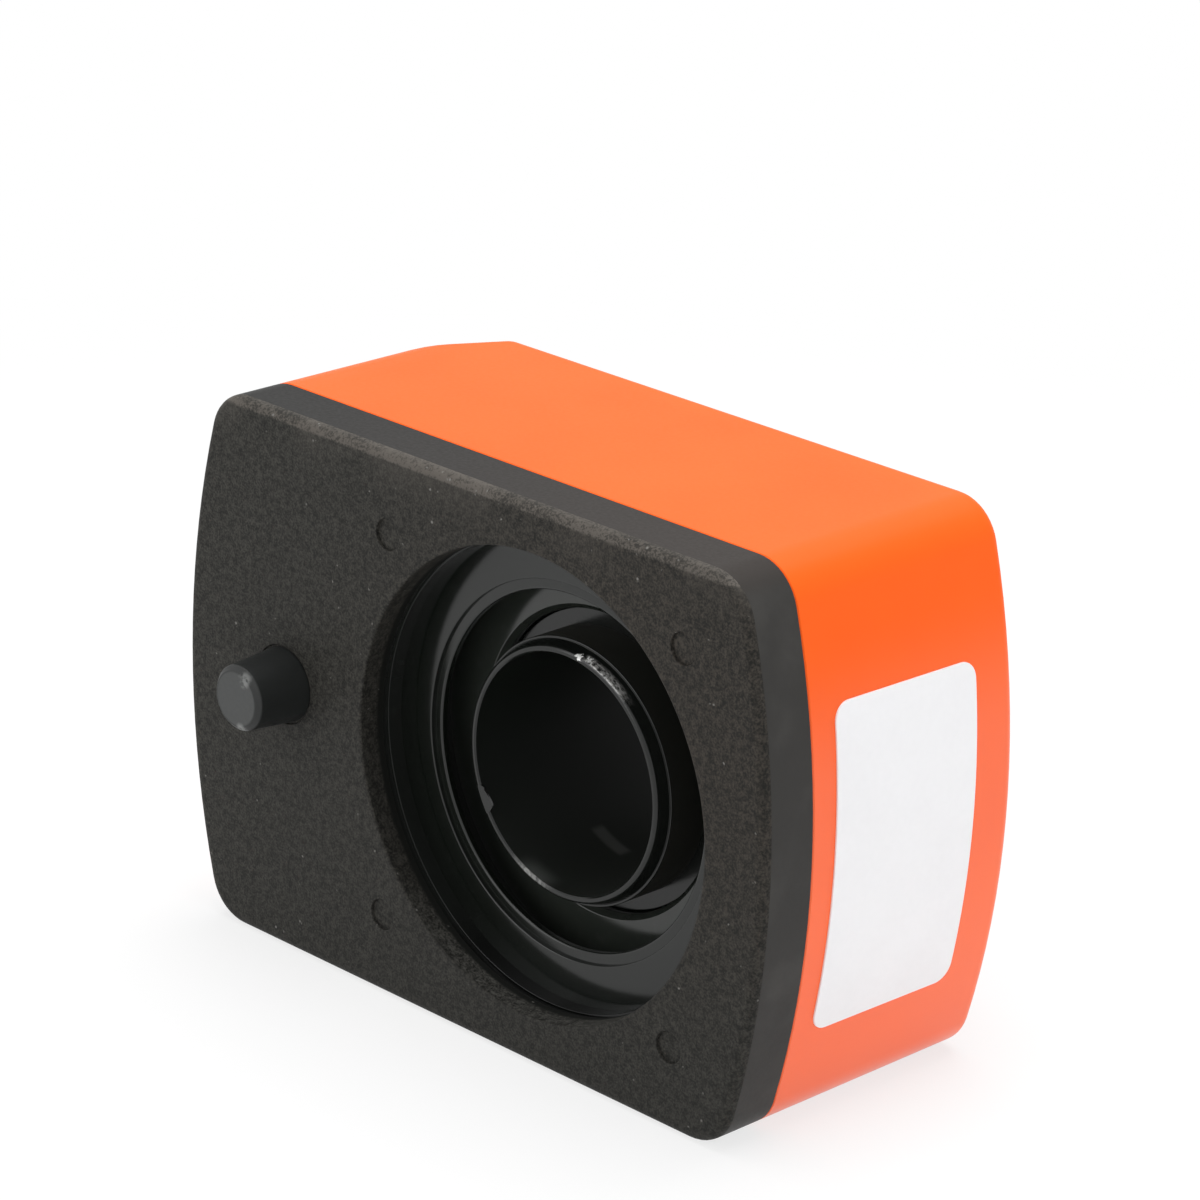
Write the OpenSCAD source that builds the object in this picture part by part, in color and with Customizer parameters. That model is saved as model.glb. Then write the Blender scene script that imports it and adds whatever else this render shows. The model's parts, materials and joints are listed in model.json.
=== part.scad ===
// Mechanical position indicator: a hollow shaft drives a row of digit wheels behind a slanted window.
// X runs along the body towards the label end, Y from the rear face to the front, Z across the width.
// The origin is on the shaft axis, where the straight bore begins behind its rear chamfer.

/* [Body] */
// Length of the body, end to end
body_length = 66.8; // [63:0.1:72]
// Width of the body across its flat sides
body_width = 47; // [45:0.5:54]
// Depth of the body, from the rear face to the front face
body_depth = 28.4; // [27.4:0.2:34]
// Bow of each curved end
end_bow = 3.7; // [2:0.1:5]
// Radius of the four corners
corner_r = 4.2; // [3:0.1:6]
// Rounding of the outer front and rear edges
edge_r = 0.8; // [0.4:0.1:1.4]
// Thickness of the housing walls
wall = 2; // [1.6:0.1:2.4]
// Distance from the display end to the shaft axis
shaft_offset = 41.1; // [40.6:0.1:42]

/* [Display face] */
// Depth at which the slanted face starts on the display end
slant_start = 11.7; // [10:0.1:14]
// Length of the slanted face along the body
slant_run = 9.4; // [8:0.1:11]
// Height of the window along the slant
window_height = 9; // [6:0.1:11]
// Clearance round the lens in its opening
lens_clear = 0.05; // [0.02:0.01:0.15]
// Thickness of the lens flange behind the wall
lens_flange = 0.8; // [0.5:0.1:1]
// Width of the lens flange round the opening
lens_lip = 1; // [0.6:0.1:1.2]

/* [Base plate] */
// Thickness of the plate, up to the parting line
plate_thickness = 5.4; // [5.3:0.1:6]
// Radius of the round recess
recess_r = 19.4; // [18.6:0.1:21]
// Depth of the straight recess wall
recess_wall = 2.5; // [1.8:0.1:2.8]
// Depth of the smooth recess floor
recess_floor = 4.4; // [3.9:0.1:4.4]
// Fillet between the recess wall and its floor
recess_fillet = 0.2; // [0.1:0.05:0.5]
// Gap between the shaft and the web of the plate
web_gap = 3.7; // [3:0.1:4]
// Width of the ledge round the hole of the web
ledge_width = 0.9; // [0.6:0.1:1.2]
// Depth of that ledge below the recess floor
ledge_depth = 0.35; // [0.2:0.05:0.4]
// Radius of the locating pin
pin_r = 3; // [2:0.1:4]
// Height of the locating pin over the rear face
pin_height = 5.1; // [3:0.1:10]
// Distance from the shaft axis to the locating pin
pin_offset = 29; // [26:0.1:31]
// Radius of the ejector marks
mark_r = 1.35; // [0.8:0.05:2]
// Distance of the ejector marks from the shaft axis along each side
mark_offset = 16.5; // [15.5:0.1:18]
// Depth of the ejector marks
mark_depth = 0.2; // [0.1:0.05:0.4]
// Height of the locating rim inside the housing
rim_height = 2; // [1:0.1:3]
// Thickness of the locating rim and of the front bush boss
rim_wall = 1.2; // [0.8:0.1:1.6]
// Clearance between the rim and the housing
rim_clear = 0.1; // [0.05:0.01:0.2]

/* [Shaft] */
// Radius of the bore
bore_r = 10; // [8:0.1:10.5]
// Depth of the shaft end below the rear face
shaft_recess = 3.9; // [2.5:0.1:4.2]
// Chamfer at each end of the bore
bore_chamfer = 0.3; // [0.1:0.05:0.5]
// Wall of the shaft at its rear end
tail_wall = 1.1; // [1:0.1:1.4]
// Length of the taper outside that end
tail_taper = 1.1; // [0.6:0.1:1.6]
// Step from the tail to the rear journal
journal_step = 1.4; // [1.2:0.05:1.5]
// Step from the rear journal to the front journal
front_step = 0.7; // [0.5:0.05:0.9]
// Running clearance of the journals
run_clear = 0.05; // [0.02:0.01:0.09]
// Depth of the rear bush below the rear face
bush_depth = 7.9; // [7.2:0.1:8.5]
// Length of the rear bush
rear_bush_length = 3; // [2:0.1:4]
// Length of the front bush
front_bush_length = 4.4; // [3:0.1:4.6]
// Wall of the front bush
front_bush_wall = 2.3; // [1.6:0.1:2.6]
// Length of the collar in front of the body
collar_length = 8.5; // [7:0.1:14]
// Gap between the collar and the front face
collar_gap = 0.3; // [0.2:0.05:0.8]
// Step from the front journal to the collar
collar_step = 2.7; // [2.4:0.1:3.5]
// Radius of the set screw
screw_r = 2.5; // [1.5:0.1:3]
// Width across flats of the screw socket
screw_socket = 2.5; // [1.5:0.1:3]
// Thickness of the retaining ring behind the drive gear
ring_thickness = 1; // [0.8:0.1:1.4]

/* [Gear train] */
// Teeth of the helical drive gear on the shaft
drive_teeth = 36; // [32:1:40]
// Teeth of the helical pinion on the layshaft
pinion_teeth = 8; // [8:1:9]
// Face width of the drive gear
drive_face = 4.5; // [3:0.1:5]
// Face width of the helical pinion
pinion_face = 6.2; // [4:0.1:7]
// Module of the spur pair between layshaft and units wheel
spur_module = 0.51; // [0.48:0.005:0.52]
// Teeth of the spur gear on the layshaft
lay_teeth = 15; // [14:1:16]
// Teeth of the spur gear on the units wheel
units_teeth = 27; // [26:1:28]
// Face width of the spur pair
spur_face = 1.6; // [1:0.1:2]
// Play between meshing teeth
tooth_play = 0.1; // [0.06:0.01:0.14]
// Depth of the layshaft axis in front of the wheel axis
lay_rise = 4.26; // [3.5:0.05:4.8]
// Side of the square layshaft
lay_square = 2.4; // [1.8:0.1:2.6]
// Radius of the layshaft journals
lay_journal_r = 1; // [0.7:0.05:1.1]

/* [Counter] */
// Digit wheels in the row
digits = 5; // [4:1:5]
// Distance between neighbouring digit wheels
wheel_pitch = 4.8; // [4.4:0.1:5]
// Width of a digit drum
drum_width = 3; // [2.4:0.1:3.2]
// Radius of a digit drum
drum_r = 6; // [5.8:0.05:6.3]
// Clearance of the units gear behind the slanted wall
wheel_clear = 0.45; // [0.3:0.05:0.8]
// Radius of the wheel axle
axle_r = 1.5; // [1:0.1:2]
// Gap between the side faces of neighbouring wheels
side_gap = 0.2; // [0.1:0.05:0.4]
// Module of the transfer gears
transfer_module = 0.52; // [0.48:0.01:0.54]
// Direction of the transfer axle seen from the wheel axle
transfer_angle = 80; // [70:1:90]
// Radius of the transfer axle
transfer_axle_r = 0.8; // [0.5:0.05:0.9]
// Thickness of the counter frame
frame_thickness = 1.5; // [1:0.1:2]

/* [Label] */
// Width of the label along the depth
label_width = 15.9; // [10:0.1:18]
// Height of the label along the body's width
label_height = 27.2; // [16:0.1:30]
// Depth of the label's centre below the rear face
label_depth = 15.7; // [14.5:0.1:18]
// Height of the label's centre
label_rise = -1.25; // [-4:0.05:4]
// Turn of the label
label_turn = 1; // [-3:0.1:3]
// Radius of the label's corners
label_corner = 1.5; // [0.5:0.1:3]
// Thickness of the label
label_thickness = 0.15; // [0.1:0.01:0.3]

/* [Hidden] */
$fn = 72;

eps = 0.01;
corner_steps = 8;
bow_steps = 10;
far = 200;
helix = 45;
normal_pressure = 20;
spur_pressure = 20;
transfer_pressure = 25;
transfer_teeth = 8;
driven_teeth = 20;

// Small fixed sizes shared by several parts
least_corner = 0.3;
edge = 0.25;
collar_edge = 0.5;
boss_wall = 1.6;
bush_overlap = 3;
bush_seat = 0.6;
bush_lead = 0.45;
tail_overlap = 1.1;
taper_share = 0.7;
ring_sunk = 0.5;
ring_proud = 0.9;
hub_step = 0.7;
hub_wall = 2;
window_margin = 0.3;
lens_gap = 0.6;
frame_gap = 0.4;
helical_root = 1.25;
spur_tip = 0.9;
spur_root = 1.2;
transfer_tip = 0.8;
transfer_root = 1.1;
carry_notch = 0.9;
drive_slices = 4;
pinion_slices = 12;
flank_steps = 2;
frame_setback = 1;
dish_step = 0.1;
groove_width = 0.5;
pin_tip = 0.4;
screw_seat = 0.2;
groove_play = 0.1;
ring_opening = 50;

// Body, with depths counted from the rear face
rear_depth = shaft_recess + bore_chamfer;
half_width = body_width / 2;
display_end = -shaft_offset;
label_end = body_length - shaft_offset;
end_r = (half_width ^ 2 + end_bow ^ 2) / (2 * end_bow);
front_inner = body_depth - wall;

// Slanted face: its angle, its length and the point behind its middle at a given distance
slant_angle = atan2(body_depth - slant_start, slant_run);
slant_length = norm([slant_run, body_depth - slant_start]);
function behind_slant(distance) = [
    display_end + slant_run / 2 + distance * sin(slant_angle),
    (slant_start + body_depth) / 2 - distance * cos(slant_angle)
];

// Shaft radii, from the rear end to the front
tail_r = bore_r + tail_wall;
tip_r = tail_r - taper_share * (tail_wall - bore_chamfer);
journal_r = tail_r + journal_step;
front_journal_r = journal_r + front_step;
collar_r = front_journal_r + collar_step;
collar_depth = body_depth + collar_gap;
shaft_front = collar_depth + collar_length;
web_r = tail_r + web_gap;
rear_bush_r = web_r + bush_overlap;
bush_shoulder_r = rear_bush_r - bush_seat;
boss_r = rear_bush_r + boss_wall;
bush_end = bush_depth + rear_bush_length;
front_bush_r = front_journal_r + front_bush_wall;
front_boss_r = front_bush_r + rim_wall;
front_bush_start = body_depth - front_bush_length;
hub_end = front_bush_start - side_gap;
screw_depth = collar_depth + collar_length / 2;

// Wheel axle behind the window, then the layshaft, then the helical pair that spans to the shaft
spur_addendum = spur_tip * spur_module;
spur_dedendum = spur_root * spur_module;
units_r = spur_module * units_teeth / 2;
lay_r = spur_module * lay_teeth / 2;
spur_centres = units_r + lay_r;
wheel_depth = units_r + spur_addendum + wheel_clear + wall;
wheel_at = behind_slant(wheel_depth);
lay_at = wheel_at + [sqrt(spur_centres ^ 2 - lay_rise ^ 2), lay_rise];
lay_direction = atan2(lay_rise, lay_at[0] - wheel_at[0]);
helical_centres = -lay_at[0];
drive_r = helical_centres * drive_teeth / (drive_teeth + pinion_teeth);
pinion_r = helical_centres - drive_r;
normal_module = 2 * pinion_r * cos(helix) / pinion_teeth;
transverse_pressure = atan(tan(normal_pressure) / cos(helix));
drive_depth = lay_at[1];
drive_start = drive_depth - drive_face / 2;
drive_end = drive_depth + drive_face / 2;
ring_start = drive_start - ring_thickness;
ring_inner_r = journal_r - ring_sunk;
ring_outer_r = journal_r + ring_proud;

// Counter row
driven_r = transfer_module * driven_teeth / 2;
transfer_r = transfer_module * transfer_teeth / 2;
transfer_addendum = transfer_tip * transfer_module;
transfer_dedendum = transfer_root * transfer_module;
transfer_at = wheel_at + (driven_r + transfer_r) * [cos(transfer_angle), sin(transfer_angle)];
wheel_gap = wheel_pitch - drum_width;
side_width = (wheel_gap - side_gap) / 2;
lock_r = driven_r - transfer_addendum - side_gap;
function wheel_z(k) = (k - (digits + 1) / 2) * wheel_pitch;
row_half = wheel_z(digits) + drum_width / 2;
window_width = 2 * (row_half + window_margin);
spur_z = -(window_width / 2 + lens_lip + lens_gap + spur_face);
frame_half = frame_gap - spur_z;
frame_outer = frame_half + frame_thickness;

// Involute of a pressure angle, in degrees
function involute(a) = tan(a) * 180 / PI - a;

// Half the angle of a tooth at radius r
function tooth_half(r, pitch_r, teeth, pressure, play) =
    90 / teeth - play / pitch_r * 45 / PI
    + involute(pressure) - involute(acos(min(1, pitch_r * cos(pressure) / r)));

// Outline points of one tooth on +X, from its lower root to its upper root
function tooth(pitch_r, teeth, addendum, dedendum, pressure, play) =
    let (
        root = pitch_r - dedendum,
        foot = max(root, pitch_r * cos(pressure)),
        radii = [for (k = [0:flank_steps]) foot + (pitch_r + addendum - foot) * k / flank_steps],
        half = [for (r = radii) tooth_half(r, pitch_r, teeth, pressure, play)]
    )
    concat(
        [[root, -half[0]]],
        [for (k = [0:flank_steps]) [radii[k], -half[k]]],
        [for (k = [flank_steps:-1:0]) [radii[k], half[k]]],
        [[root, half[0]]]
    );

module gear_outline(pitch_r, teeth, addendum, dedendum, pressure, play)
    polygon([
        for (i = [0:teeth - 1], p = tooth(pitch_r, teeth, addendum, dedendum, pressure, play))
            p[0] * [cos(p[1] + i * 360 / teeth), sin(p[1] + i * 360 / teeth)]
    ]);

// Right-handed helical gear, with a tooth on +X halfway along its face
module helical_gear(pitch_r, teeth, face, slices) {
    turn = face / pitch_r * tan(helix) * 180 / PI;
    rotate(-turn / 2)
        translate([0, 0, -face / 2])
            linear_extrude(height = face, twist = -turn, slices = slices)
                gear_outline(
                    pitch_r, teeth, normal_module, helical_root * normal_module,
                    transverse_pressure, tooth_play / cos(helix)
                );
}

module spur_gear(pitch_r, teeth)
    linear_extrude(spur_face)
        gear_outline(pitch_r, teeth, spur_addendum, spur_dedendum, spur_pressure, tooth_play);

module transfer_gear(pitch_r, teeth, width)
    linear_extrude(width)
        gear_outline(
            pitch_r, teeth, transfer_addendum, transfer_dedendum, transfer_pressure, tooth_play
        );

// Moves depths counted from the rear face into the part's frame
module place() translate([0, -rear_depth, 0]) children();

// Turns a shape's Z to Y, at a depth
module at_depth(depth) translate([0, depth, 0]) rotate([-90, 0, 0]) children();

module at_axis(point) translate([point[0], point[1], 0]) children();

module tube(outer_r, inner_r, from, to)
    at_depth(from)
        difference() {
            cylinder(r = outer_r, h = to - from);
            translate([0, 0, -eps]) cylinder(r = inner_r, h = to - from + 2 * eps);
        }

// Points of an arc, both ends included
function arc(centre, r, from, to, steps) =
    [for (k = [0:steps]) let (a = from + (to - from) * k / steps) centre + r * [cos(a), sin(a)]];

// Outline of the body in X and Z: flat sides, bowed ends, round corners, all moved in by an inset
function outline_points(inset = 0) =
    let (
        r = max(corner_r, inset + least_corner),
        z = half_width - r,
        reach = sqrt((end_r - r) ^ 2 - z ^ 2),
        a = atan2(z, reach),
        right = label_end - end_r,
        left = display_end + end_r
    )
    concat(
        arc([right + reach, -z], r - inset, -90, -a, corner_steps),
        [for (k = [1:bow_steps - 1]) [right, 0] + (end_r - inset) * turn(a * (2 * k / bow_steps - 1))],
        arc([right + reach, z], r - inset, a, 90, corner_steps),
        arc([left - reach, z], r - inset, 90, 180 - a, corner_steps),
        [for (k = [1:bow_steps - 1]) [left, 0] - (end_r - inset) * turn(a * (2 * k / bow_steps - 1))],
        arc([left - reach, -z], r - inset, 180 + a, 270, corner_steps)
    );
function turn(a) = [cos(a), sin(a)];

module body_outline(inset = 0) polygon(outline_points(inset));

// Solid lofted through the outline at the given depths and insets
module lofted_body(rings) {
    count = len(outline_points());
    polyhedron(
        points = [for (ring = rings, p = outline_points(ring[1])) [p[0], ring[0], p[1]]],
        faces = concat(
            [[for (k = [count - 1:-1:0]) k]],
            [
                for (j = [0:len(rings) - 2], k = [0:count - 1])
                    let (n = (k + 1) % count)
                        [j * count + k, j * count + n, (j + 1) * count + n, (j + 1) * count + k]
            ],
            [[for (k = [0:count - 1]) (len(rings) - 1) * count + k]]
        )
    );
}

// Depths and insets of an outer edge rounded at depth zero
edge_rings = [for (a = [90:-30:0]) [edge_r * (1 - sin(a)), edge_r * (1 - cos(a))]];
front_rings = [for (k = [len(edge_rings) - 1:-1:0]) [body_depth - edge_rings[k][0], edge_rings[k][1]]];

// Frame of the slanted face: X up the slant, Y outwards, origin at its lower edge
module on_slant() translate([display_end, slant_start, 0]) rotate(slant_angle) children();

// Everything beyond the slanted face, sunk by a distance
module beyond_slant(sunk)
    on_slant() translate([-far / 2, -sunk, -far / 2]) cube([far, far, far]);

// Block on the slanted face, centred on the window
module window_block(extra, from, to)
    on_slant()
        translate([(slant_length - window_height) / 2 - extra, from, -window_width / 2 - extra])
            cube([window_height + 2 * extra, to - from, window_width + 2 * extra]);

module housing()
    color("orangered") place()
        difference() {
            union() {
                difference() {
                    lofted_body(concat([[plate_thickness, 0]], front_rings));
                    beyond_slant(0);
                    difference() {
                        at_depth(plate_thickness - eps)
                            linear_extrude(front_inner - plate_thickness + eps) body_outline(wall);
                        beyond_slant(wall);
                    }
                }
                tube(front_boss_r, front_bush_r, front_bush_start, front_inner + eps);
            }
            at_depth(front_inner - eps) cylinder(r = front_bush_r, h = wall + 2 * eps);
            window_block(0, -wall - 1, 1);
        }

// Section of the recess: straight wall, thin groove, filleted smooth floor, ledge and web hole
module recess_section() {
    dish_r = recess_r - dish_step;
    groove_r = recess_r + groove_width / 2;
    ledge_r = web_r + ledge_width;
    ledge_floor = recess_floor + ledge_depth;
    ledge_edge = ledge_depth / 3;
    polygon(concat(
        [[0, -1], [recess_r, -1], [recess_r, recess_wall]],
        [[groove_r, recess_wall], [groove_r, recess_wall + groove_width]],
        [[dish_r, recess_wall + groove_width]],
        [
            for (a = [0:15:90])
                [dish_r, recess_floor] + recess_fillet * [cos(a) - 1, sin(a) - 1]
        ],
        [[ledge_r + ledge_edge, recess_floor], [ledge_r, recess_floor + ledge_edge]],
        [[ledge_r, ledge_floor], [web_r + edge, ledge_floor], [web_r, ledge_floor + edge]],
        [[web_r, plate_thickness - edge], [web_r + edge, plate_thickness]],
        [[bush_shoulder_r, plate_thickness], [bush_shoulder_r, bush_depth]],
        [[rear_bush_r, bush_depth], [rear_bush_r, bush_end + 1], [0, bush_end + 1]]
    ));
}

module base_plate()
    color("dimgray") place()
        difference() {
            union() {
                lofted_body(concat(edge_rings, [[plate_thickness, 0]]));
                at_depth(plate_thickness - eps)
                    linear_extrude(rim_height + eps)
                        difference() {
                            body_outline(wall + rim_clear);
                            body_outline(wall + rim_clear + rim_wall);
                        }
                at_depth(plate_thickness - eps)
                    cylinder(r = boss_r, h = bush_end - plate_thickness + eps);
                translate([-pin_offset, 0, 0]) {
                    at_depth(pin_tip - pin_height) cylinder(r = pin_r, h = pin_height);
                    at_depth(-pin_height) cylinder(r1 = pin_r - pin_tip, r2 = pin_r, h = pin_tip);
                }
            }
            at_depth(0) rotate_extrude() recess_section();
            for (x = [-1, 1], z = [-1, 1])
                translate([x * mark_offset, 0, z * mark_offset])
                    at_depth(-eps) cylinder(r = mark_r, h = mark_depth + eps);
        }

module window_lens()
    color("lightcyan", 0.5) place() {
        window_block(-lens_clear, -wall - eps, -lens_clear);
        window_block(lens_lip, -wall - lens_flange, -wall);
    }

// Rounded rectangle of the label, raised off the bowed end
module end_label()
    color("white") place()
        intersection() {
            at_depth(0)
                linear_extrude(body_depth)
                    difference() {
                        body_outline(-label_thickness);
                        body_outline();
                    }
            translate([0, label_depth, label_rise])
                rotate([90 - label_turn, 0, 90])
                    linear_extrude(far)
                        offset(r = label_corner)
                            square(
                                [label_width - 2 * label_corner, label_height - 2 * label_corner],
                                center = true
                            );
        }

module rear_bush() {
    inner_r = journal_r + run_clear;
    color("black") place()
        at_depth(0)
            rotate_extrude()
                polygon([
                    [inner_r, bush_depth + bush_lead], [inner_r + bush_lead, bush_depth],
                    [rear_bush_r, bush_depth], [rear_bush_r, bush_end], [inner_r, bush_end]
                ]);
}

module front_bush()
    color("black") place()
        tube(front_bush_r, front_journal_r + run_clear, front_bush_start, body_depth);

// Hollow shaft, turned in one piece with its front collar
module hollow_shaft() {
    tail_end = bush_depth + tail_overlap;
    color("dimgray") place()
        difference() {
            at_depth(0)
                rotate_extrude()
                    polygon([
                        [bore_r + bore_chamfer, shaft_recess], [tip_r, shaft_recess],
                        [tail_r, shaft_recess + tail_taper], [tail_r, tail_end], [journal_r, tail_end],
                        [journal_r, ring_start - groove_play], [ring_inner_r, ring_start - groove_play],
                        [ring_inner_r, drive_start], [journal_r, drive_start], [journal_r, hub_end],
                        [front_journal_r, hub_end], [front_journal_r, collar_depth],
                        [collar_r - collar_edge, collar_depth], [collar_r, collar_depth + collar_edge],
                        [collar_r, shaft_front - collar_edge], [collar_r - collar_edge, shaft_front],
                        [bore_r + bore_chamfer, shaft_front], [bore_r, shaft_front - bore_chamfer],
                        [bore_r, shaft_recess + bore_chamfer]
                    ]);
            translate([0, screw_depth, bore_r / 2]) cylinder(r = screw_r, h = collar_r);
        }
}

// Drive gear pressed onto the journal, its hub running up to the front bush
module drive_gear()
    color("ivory") place()
        difference() {
            union() {
                at_depth(drive_depth)
                    rotate(180 / drive_teeth) helical_gear(drive_r, drive_teeth, drive_face, drive_slices);
                at_depth(drive_end - eps)
                    cylinder(r = front_journal_r + hub_step, h = hub_end - drive_end + eps);
            }
            at_depth(drive_start - eps) cylinder(r = journal_r, h = hub_end - drive_start + 2 * eps);
        }

// Open snap ring in the groove behind the drive gear
module retaining_ring()
    color("silver") place()
        at_depth(ring_start)
            rotate(ring_opening / 2)
                rotate_extrude(angle = 360 - ring_opening)
                    translate([ring_inner_r, 0]) square([ring_outer_r - ring_inner_r, ring_thickness]);

module set_screw() {
    length = collar_r - bore_r - 2 * screw_seat;
    color("black") place()
        translate([0, screw_depth, bore_r + screw_seat])
            difference() {
                cylinder(r = screw_r, h = length);
                translate([0, 0, length / 2])
                    cylinder(r = screw_socket / 2 / cos(30), h = length, $fn = 6);
            }
}

// Square layshaft with round journals
module layshaft() {
    square_half = frame_half - side_gap;
    color("silver") place() at_axis(lay_at) {
        translate([0, 0, -frame_outer]) cylinder(r = lay_journal_r, h = 2 * frame_outer);
        translate([-lay_square / 2, -lay_square / 2, -square_half])
            cube([lay_square, lay_square, 2 * square_half]);
    }
}

module lay_square_hole(z, height)
    translate([-lay_square / 2, -lay_square / 2, z]) cube([lay_square, lay_square, height]);

module helical_pinion()
    color("ivory") place() at_axis(lay_at)
        difference() {
            helical_gear(pinion_r, pinion_teeth, pinion_face, pinion_slices);
            lay_square_hole(-pinion_face, 2 * pinion_face);
        }

module lay_gear()
    color("ivory") place() at_axis(lay_at)
        difference() {
            translate([0, 0, spur_z]) rotate(lay_direction + 180) spur_gear(lay_r, lay_teeth);
            lay_square_hole(spur_z - spur_face, 3 * spur_face);
        }

// Bent frame: a web on the base plate and two side plates that carry the axles
module counter_frame() {
    web_start = wheel_at[0] - drum_r + frame_setback;
    plate_height = front_inner - plate_thickness - side_gap;
    web_end = -boss_r - side_gap;
    plate_end = lay_at[0] + lay_journal_r + frame_thickness;
    color("silver") place()
        difference() {
            union() {
                translate([web_start, plate_thickness, -frame_outer])
                    cube([web_end - web_start, frame_thickness, 2 * frame_outer]);
                for (z = [-frame_outer, frame_half])
                    translate([web_start, plate_thickness, z])
                        cube([plate_end - web_start, plate_height, frame_thickness]);
            }
            beyond_slant(wall + side_gap);
            at_axis(transfer_at) cylinder(r = transfer_axle_r, h = far);
            translate([0, 0, -far / 2]) {
                at_axis(wheel_at) cylinder(r = axle_r, h = far);
                at_axis(lay_at) cylinder(r = lay_journal_r + run_clear, h = far);
            }
        }
}

module wheel_axle()
    color("silver") place() at_axis(wheel_at)
        translate([0, 0, -frame_outer]) cylinder(r = axle_r, h = 2 * frame_outer);

// Axle held at one end only, so that it stops short of the units gear
module transfer_axle()
    color("silver") place() at_axis(transfer_at)
        translate([0, 0, wheel_z(1)]) cylinder(r = transfer_axle_r, h = frame_outer - wheel_z(1));

// One digit wheel: drum, driven side towards the units end, notched carry side beyond
module digit_wheel(k) {
    low = wheel_z(k) - drum_width / 2;
    high = wheel_z(k) + drum_width / 2;
    hub_r = axle_r + hub_wall;
    color("black") place() at_axis(wheel_at)
        difference() {
            union() {
                translate([0, 0, low]) cylinder(r = drum_r, h = drum_width);
                if (k == 1) {
                    translate([0, 0, spur_z])
                        rotate(lay_direction + 180 / units_teeth) spur_gear(units_r, units_teeth);
                    translate([0, 0, spur_z]) cylinder(r = hub_r, h = low - spur_z);
                } else {
                    translate([0, 0, low - side_width])
                        rotate(transfer_angle + 180 / driven_teeth)
                            transfer_gear(driven_r, driven_teeth, side_width);
                }
                if (k == digits) {
                    translate([0, 0, high]) cylinder(r = hub_r, h = frame_half - side_gap - high);
                } else {
                    translate([0, 0, high]) cylinder(r = lock_r, h = side_width);
                }
            }
            translate([0, 0, -far / 2]) cylinder(r = axle_r + run_clear, h = far);
            if (k < digits)
                translate([0, 0, high])
                    rotate(transfer_angle + 180)
                        translate([lock_r, 0, 0])
                            cylinder(r = carry_notch * transfer_module, h = side_width + eps);
        }
}

// Transfer pinion in the gap after wheel k: every tooth on the driven side, every other on the carry side
module transfer_pinion(k) {
    clear = side_gap / 2;
    width = wheel_gap - 2 * clear;
    start = wheel_z(k) + drum_width / 2 + clear;
    color("ivory") place() at_axis(transfer_at)
        difference() {
            union() {
                translate([0, 0, start + width / 2])
                    rotate(transfer_angle + 180) transfer_gear(transfer_r, transfer_teeth, width / 2);
                translate([0, 0, start]) {
                    cylinder(r = transfer_r - transfer_dedendum, h = width / 2);
                    intersection() {
                        rotate(transfer_angle + 180) transfer_gear(transfer_r, transfer_teeth, width / 2);
                        for (a = [0, 90])
                            rotate(transfer_angle + a)
                                translate([-transfer_r * 2, -transfer_r / 2, 0])
                                    cube([transfer_r * 4, transfer_r, width / 2]);
                    }
                }
            }
            translate([0, 0, -far / 2]) cylinder(r = transfer_axle_r + run_clear, h = far);
        }
}

housing();
base_plate();
window_lens();
end_label();
rear_bush();
front_bush();
hollow_shaft();
drive_gear();
retaining_ring();
set_screw();
layshaft();
helical_pinion();
lay_gear();
counter_frame();
wheel_axle();
transfer_axle();
for (k = [1:digits]) digit_wheel(k);
for (k = [1:digits - 1]) transfer_pinion(k);
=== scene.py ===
import json
import math

import bmesh
import bpy
from mathutils import Matrix, Vector

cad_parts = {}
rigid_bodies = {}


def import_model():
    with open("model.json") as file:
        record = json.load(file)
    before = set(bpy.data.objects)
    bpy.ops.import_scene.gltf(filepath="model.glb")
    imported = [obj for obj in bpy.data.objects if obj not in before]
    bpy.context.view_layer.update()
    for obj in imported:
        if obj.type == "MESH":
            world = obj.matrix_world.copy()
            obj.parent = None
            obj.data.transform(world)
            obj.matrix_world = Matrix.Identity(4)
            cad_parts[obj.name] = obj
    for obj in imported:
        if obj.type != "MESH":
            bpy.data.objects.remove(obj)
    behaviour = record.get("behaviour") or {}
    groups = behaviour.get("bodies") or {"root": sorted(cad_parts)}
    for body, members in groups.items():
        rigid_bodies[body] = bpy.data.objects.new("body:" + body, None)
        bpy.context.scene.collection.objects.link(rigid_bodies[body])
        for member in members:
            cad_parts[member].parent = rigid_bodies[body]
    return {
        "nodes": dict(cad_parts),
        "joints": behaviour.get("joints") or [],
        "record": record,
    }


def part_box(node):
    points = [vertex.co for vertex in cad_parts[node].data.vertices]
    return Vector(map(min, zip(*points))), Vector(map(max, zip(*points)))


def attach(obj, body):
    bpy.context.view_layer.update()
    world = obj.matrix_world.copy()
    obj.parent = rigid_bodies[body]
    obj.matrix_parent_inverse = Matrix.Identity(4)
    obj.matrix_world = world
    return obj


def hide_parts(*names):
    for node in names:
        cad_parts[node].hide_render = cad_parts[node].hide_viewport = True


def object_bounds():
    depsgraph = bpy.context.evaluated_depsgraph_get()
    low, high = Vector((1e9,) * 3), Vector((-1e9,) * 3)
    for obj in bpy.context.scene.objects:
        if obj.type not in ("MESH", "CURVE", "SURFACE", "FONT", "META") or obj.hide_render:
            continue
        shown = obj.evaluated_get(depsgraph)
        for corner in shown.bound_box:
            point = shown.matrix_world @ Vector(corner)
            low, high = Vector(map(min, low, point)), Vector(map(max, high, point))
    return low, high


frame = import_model()
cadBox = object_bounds()
nodes = frame["nodes"]
mounts = {m["name"]: m for m in frame["record"]["mounts"]}
joints = {j["name"]: j for j in frame["joints"]}
boreSize, pinSize = (mounts[name]["dims"]["r_mm"] for name in ("shaft_bore", "locating_pin"))
pinX = mounts["locating_pin"]["pos_m"][0]
mm = 0.001
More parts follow.
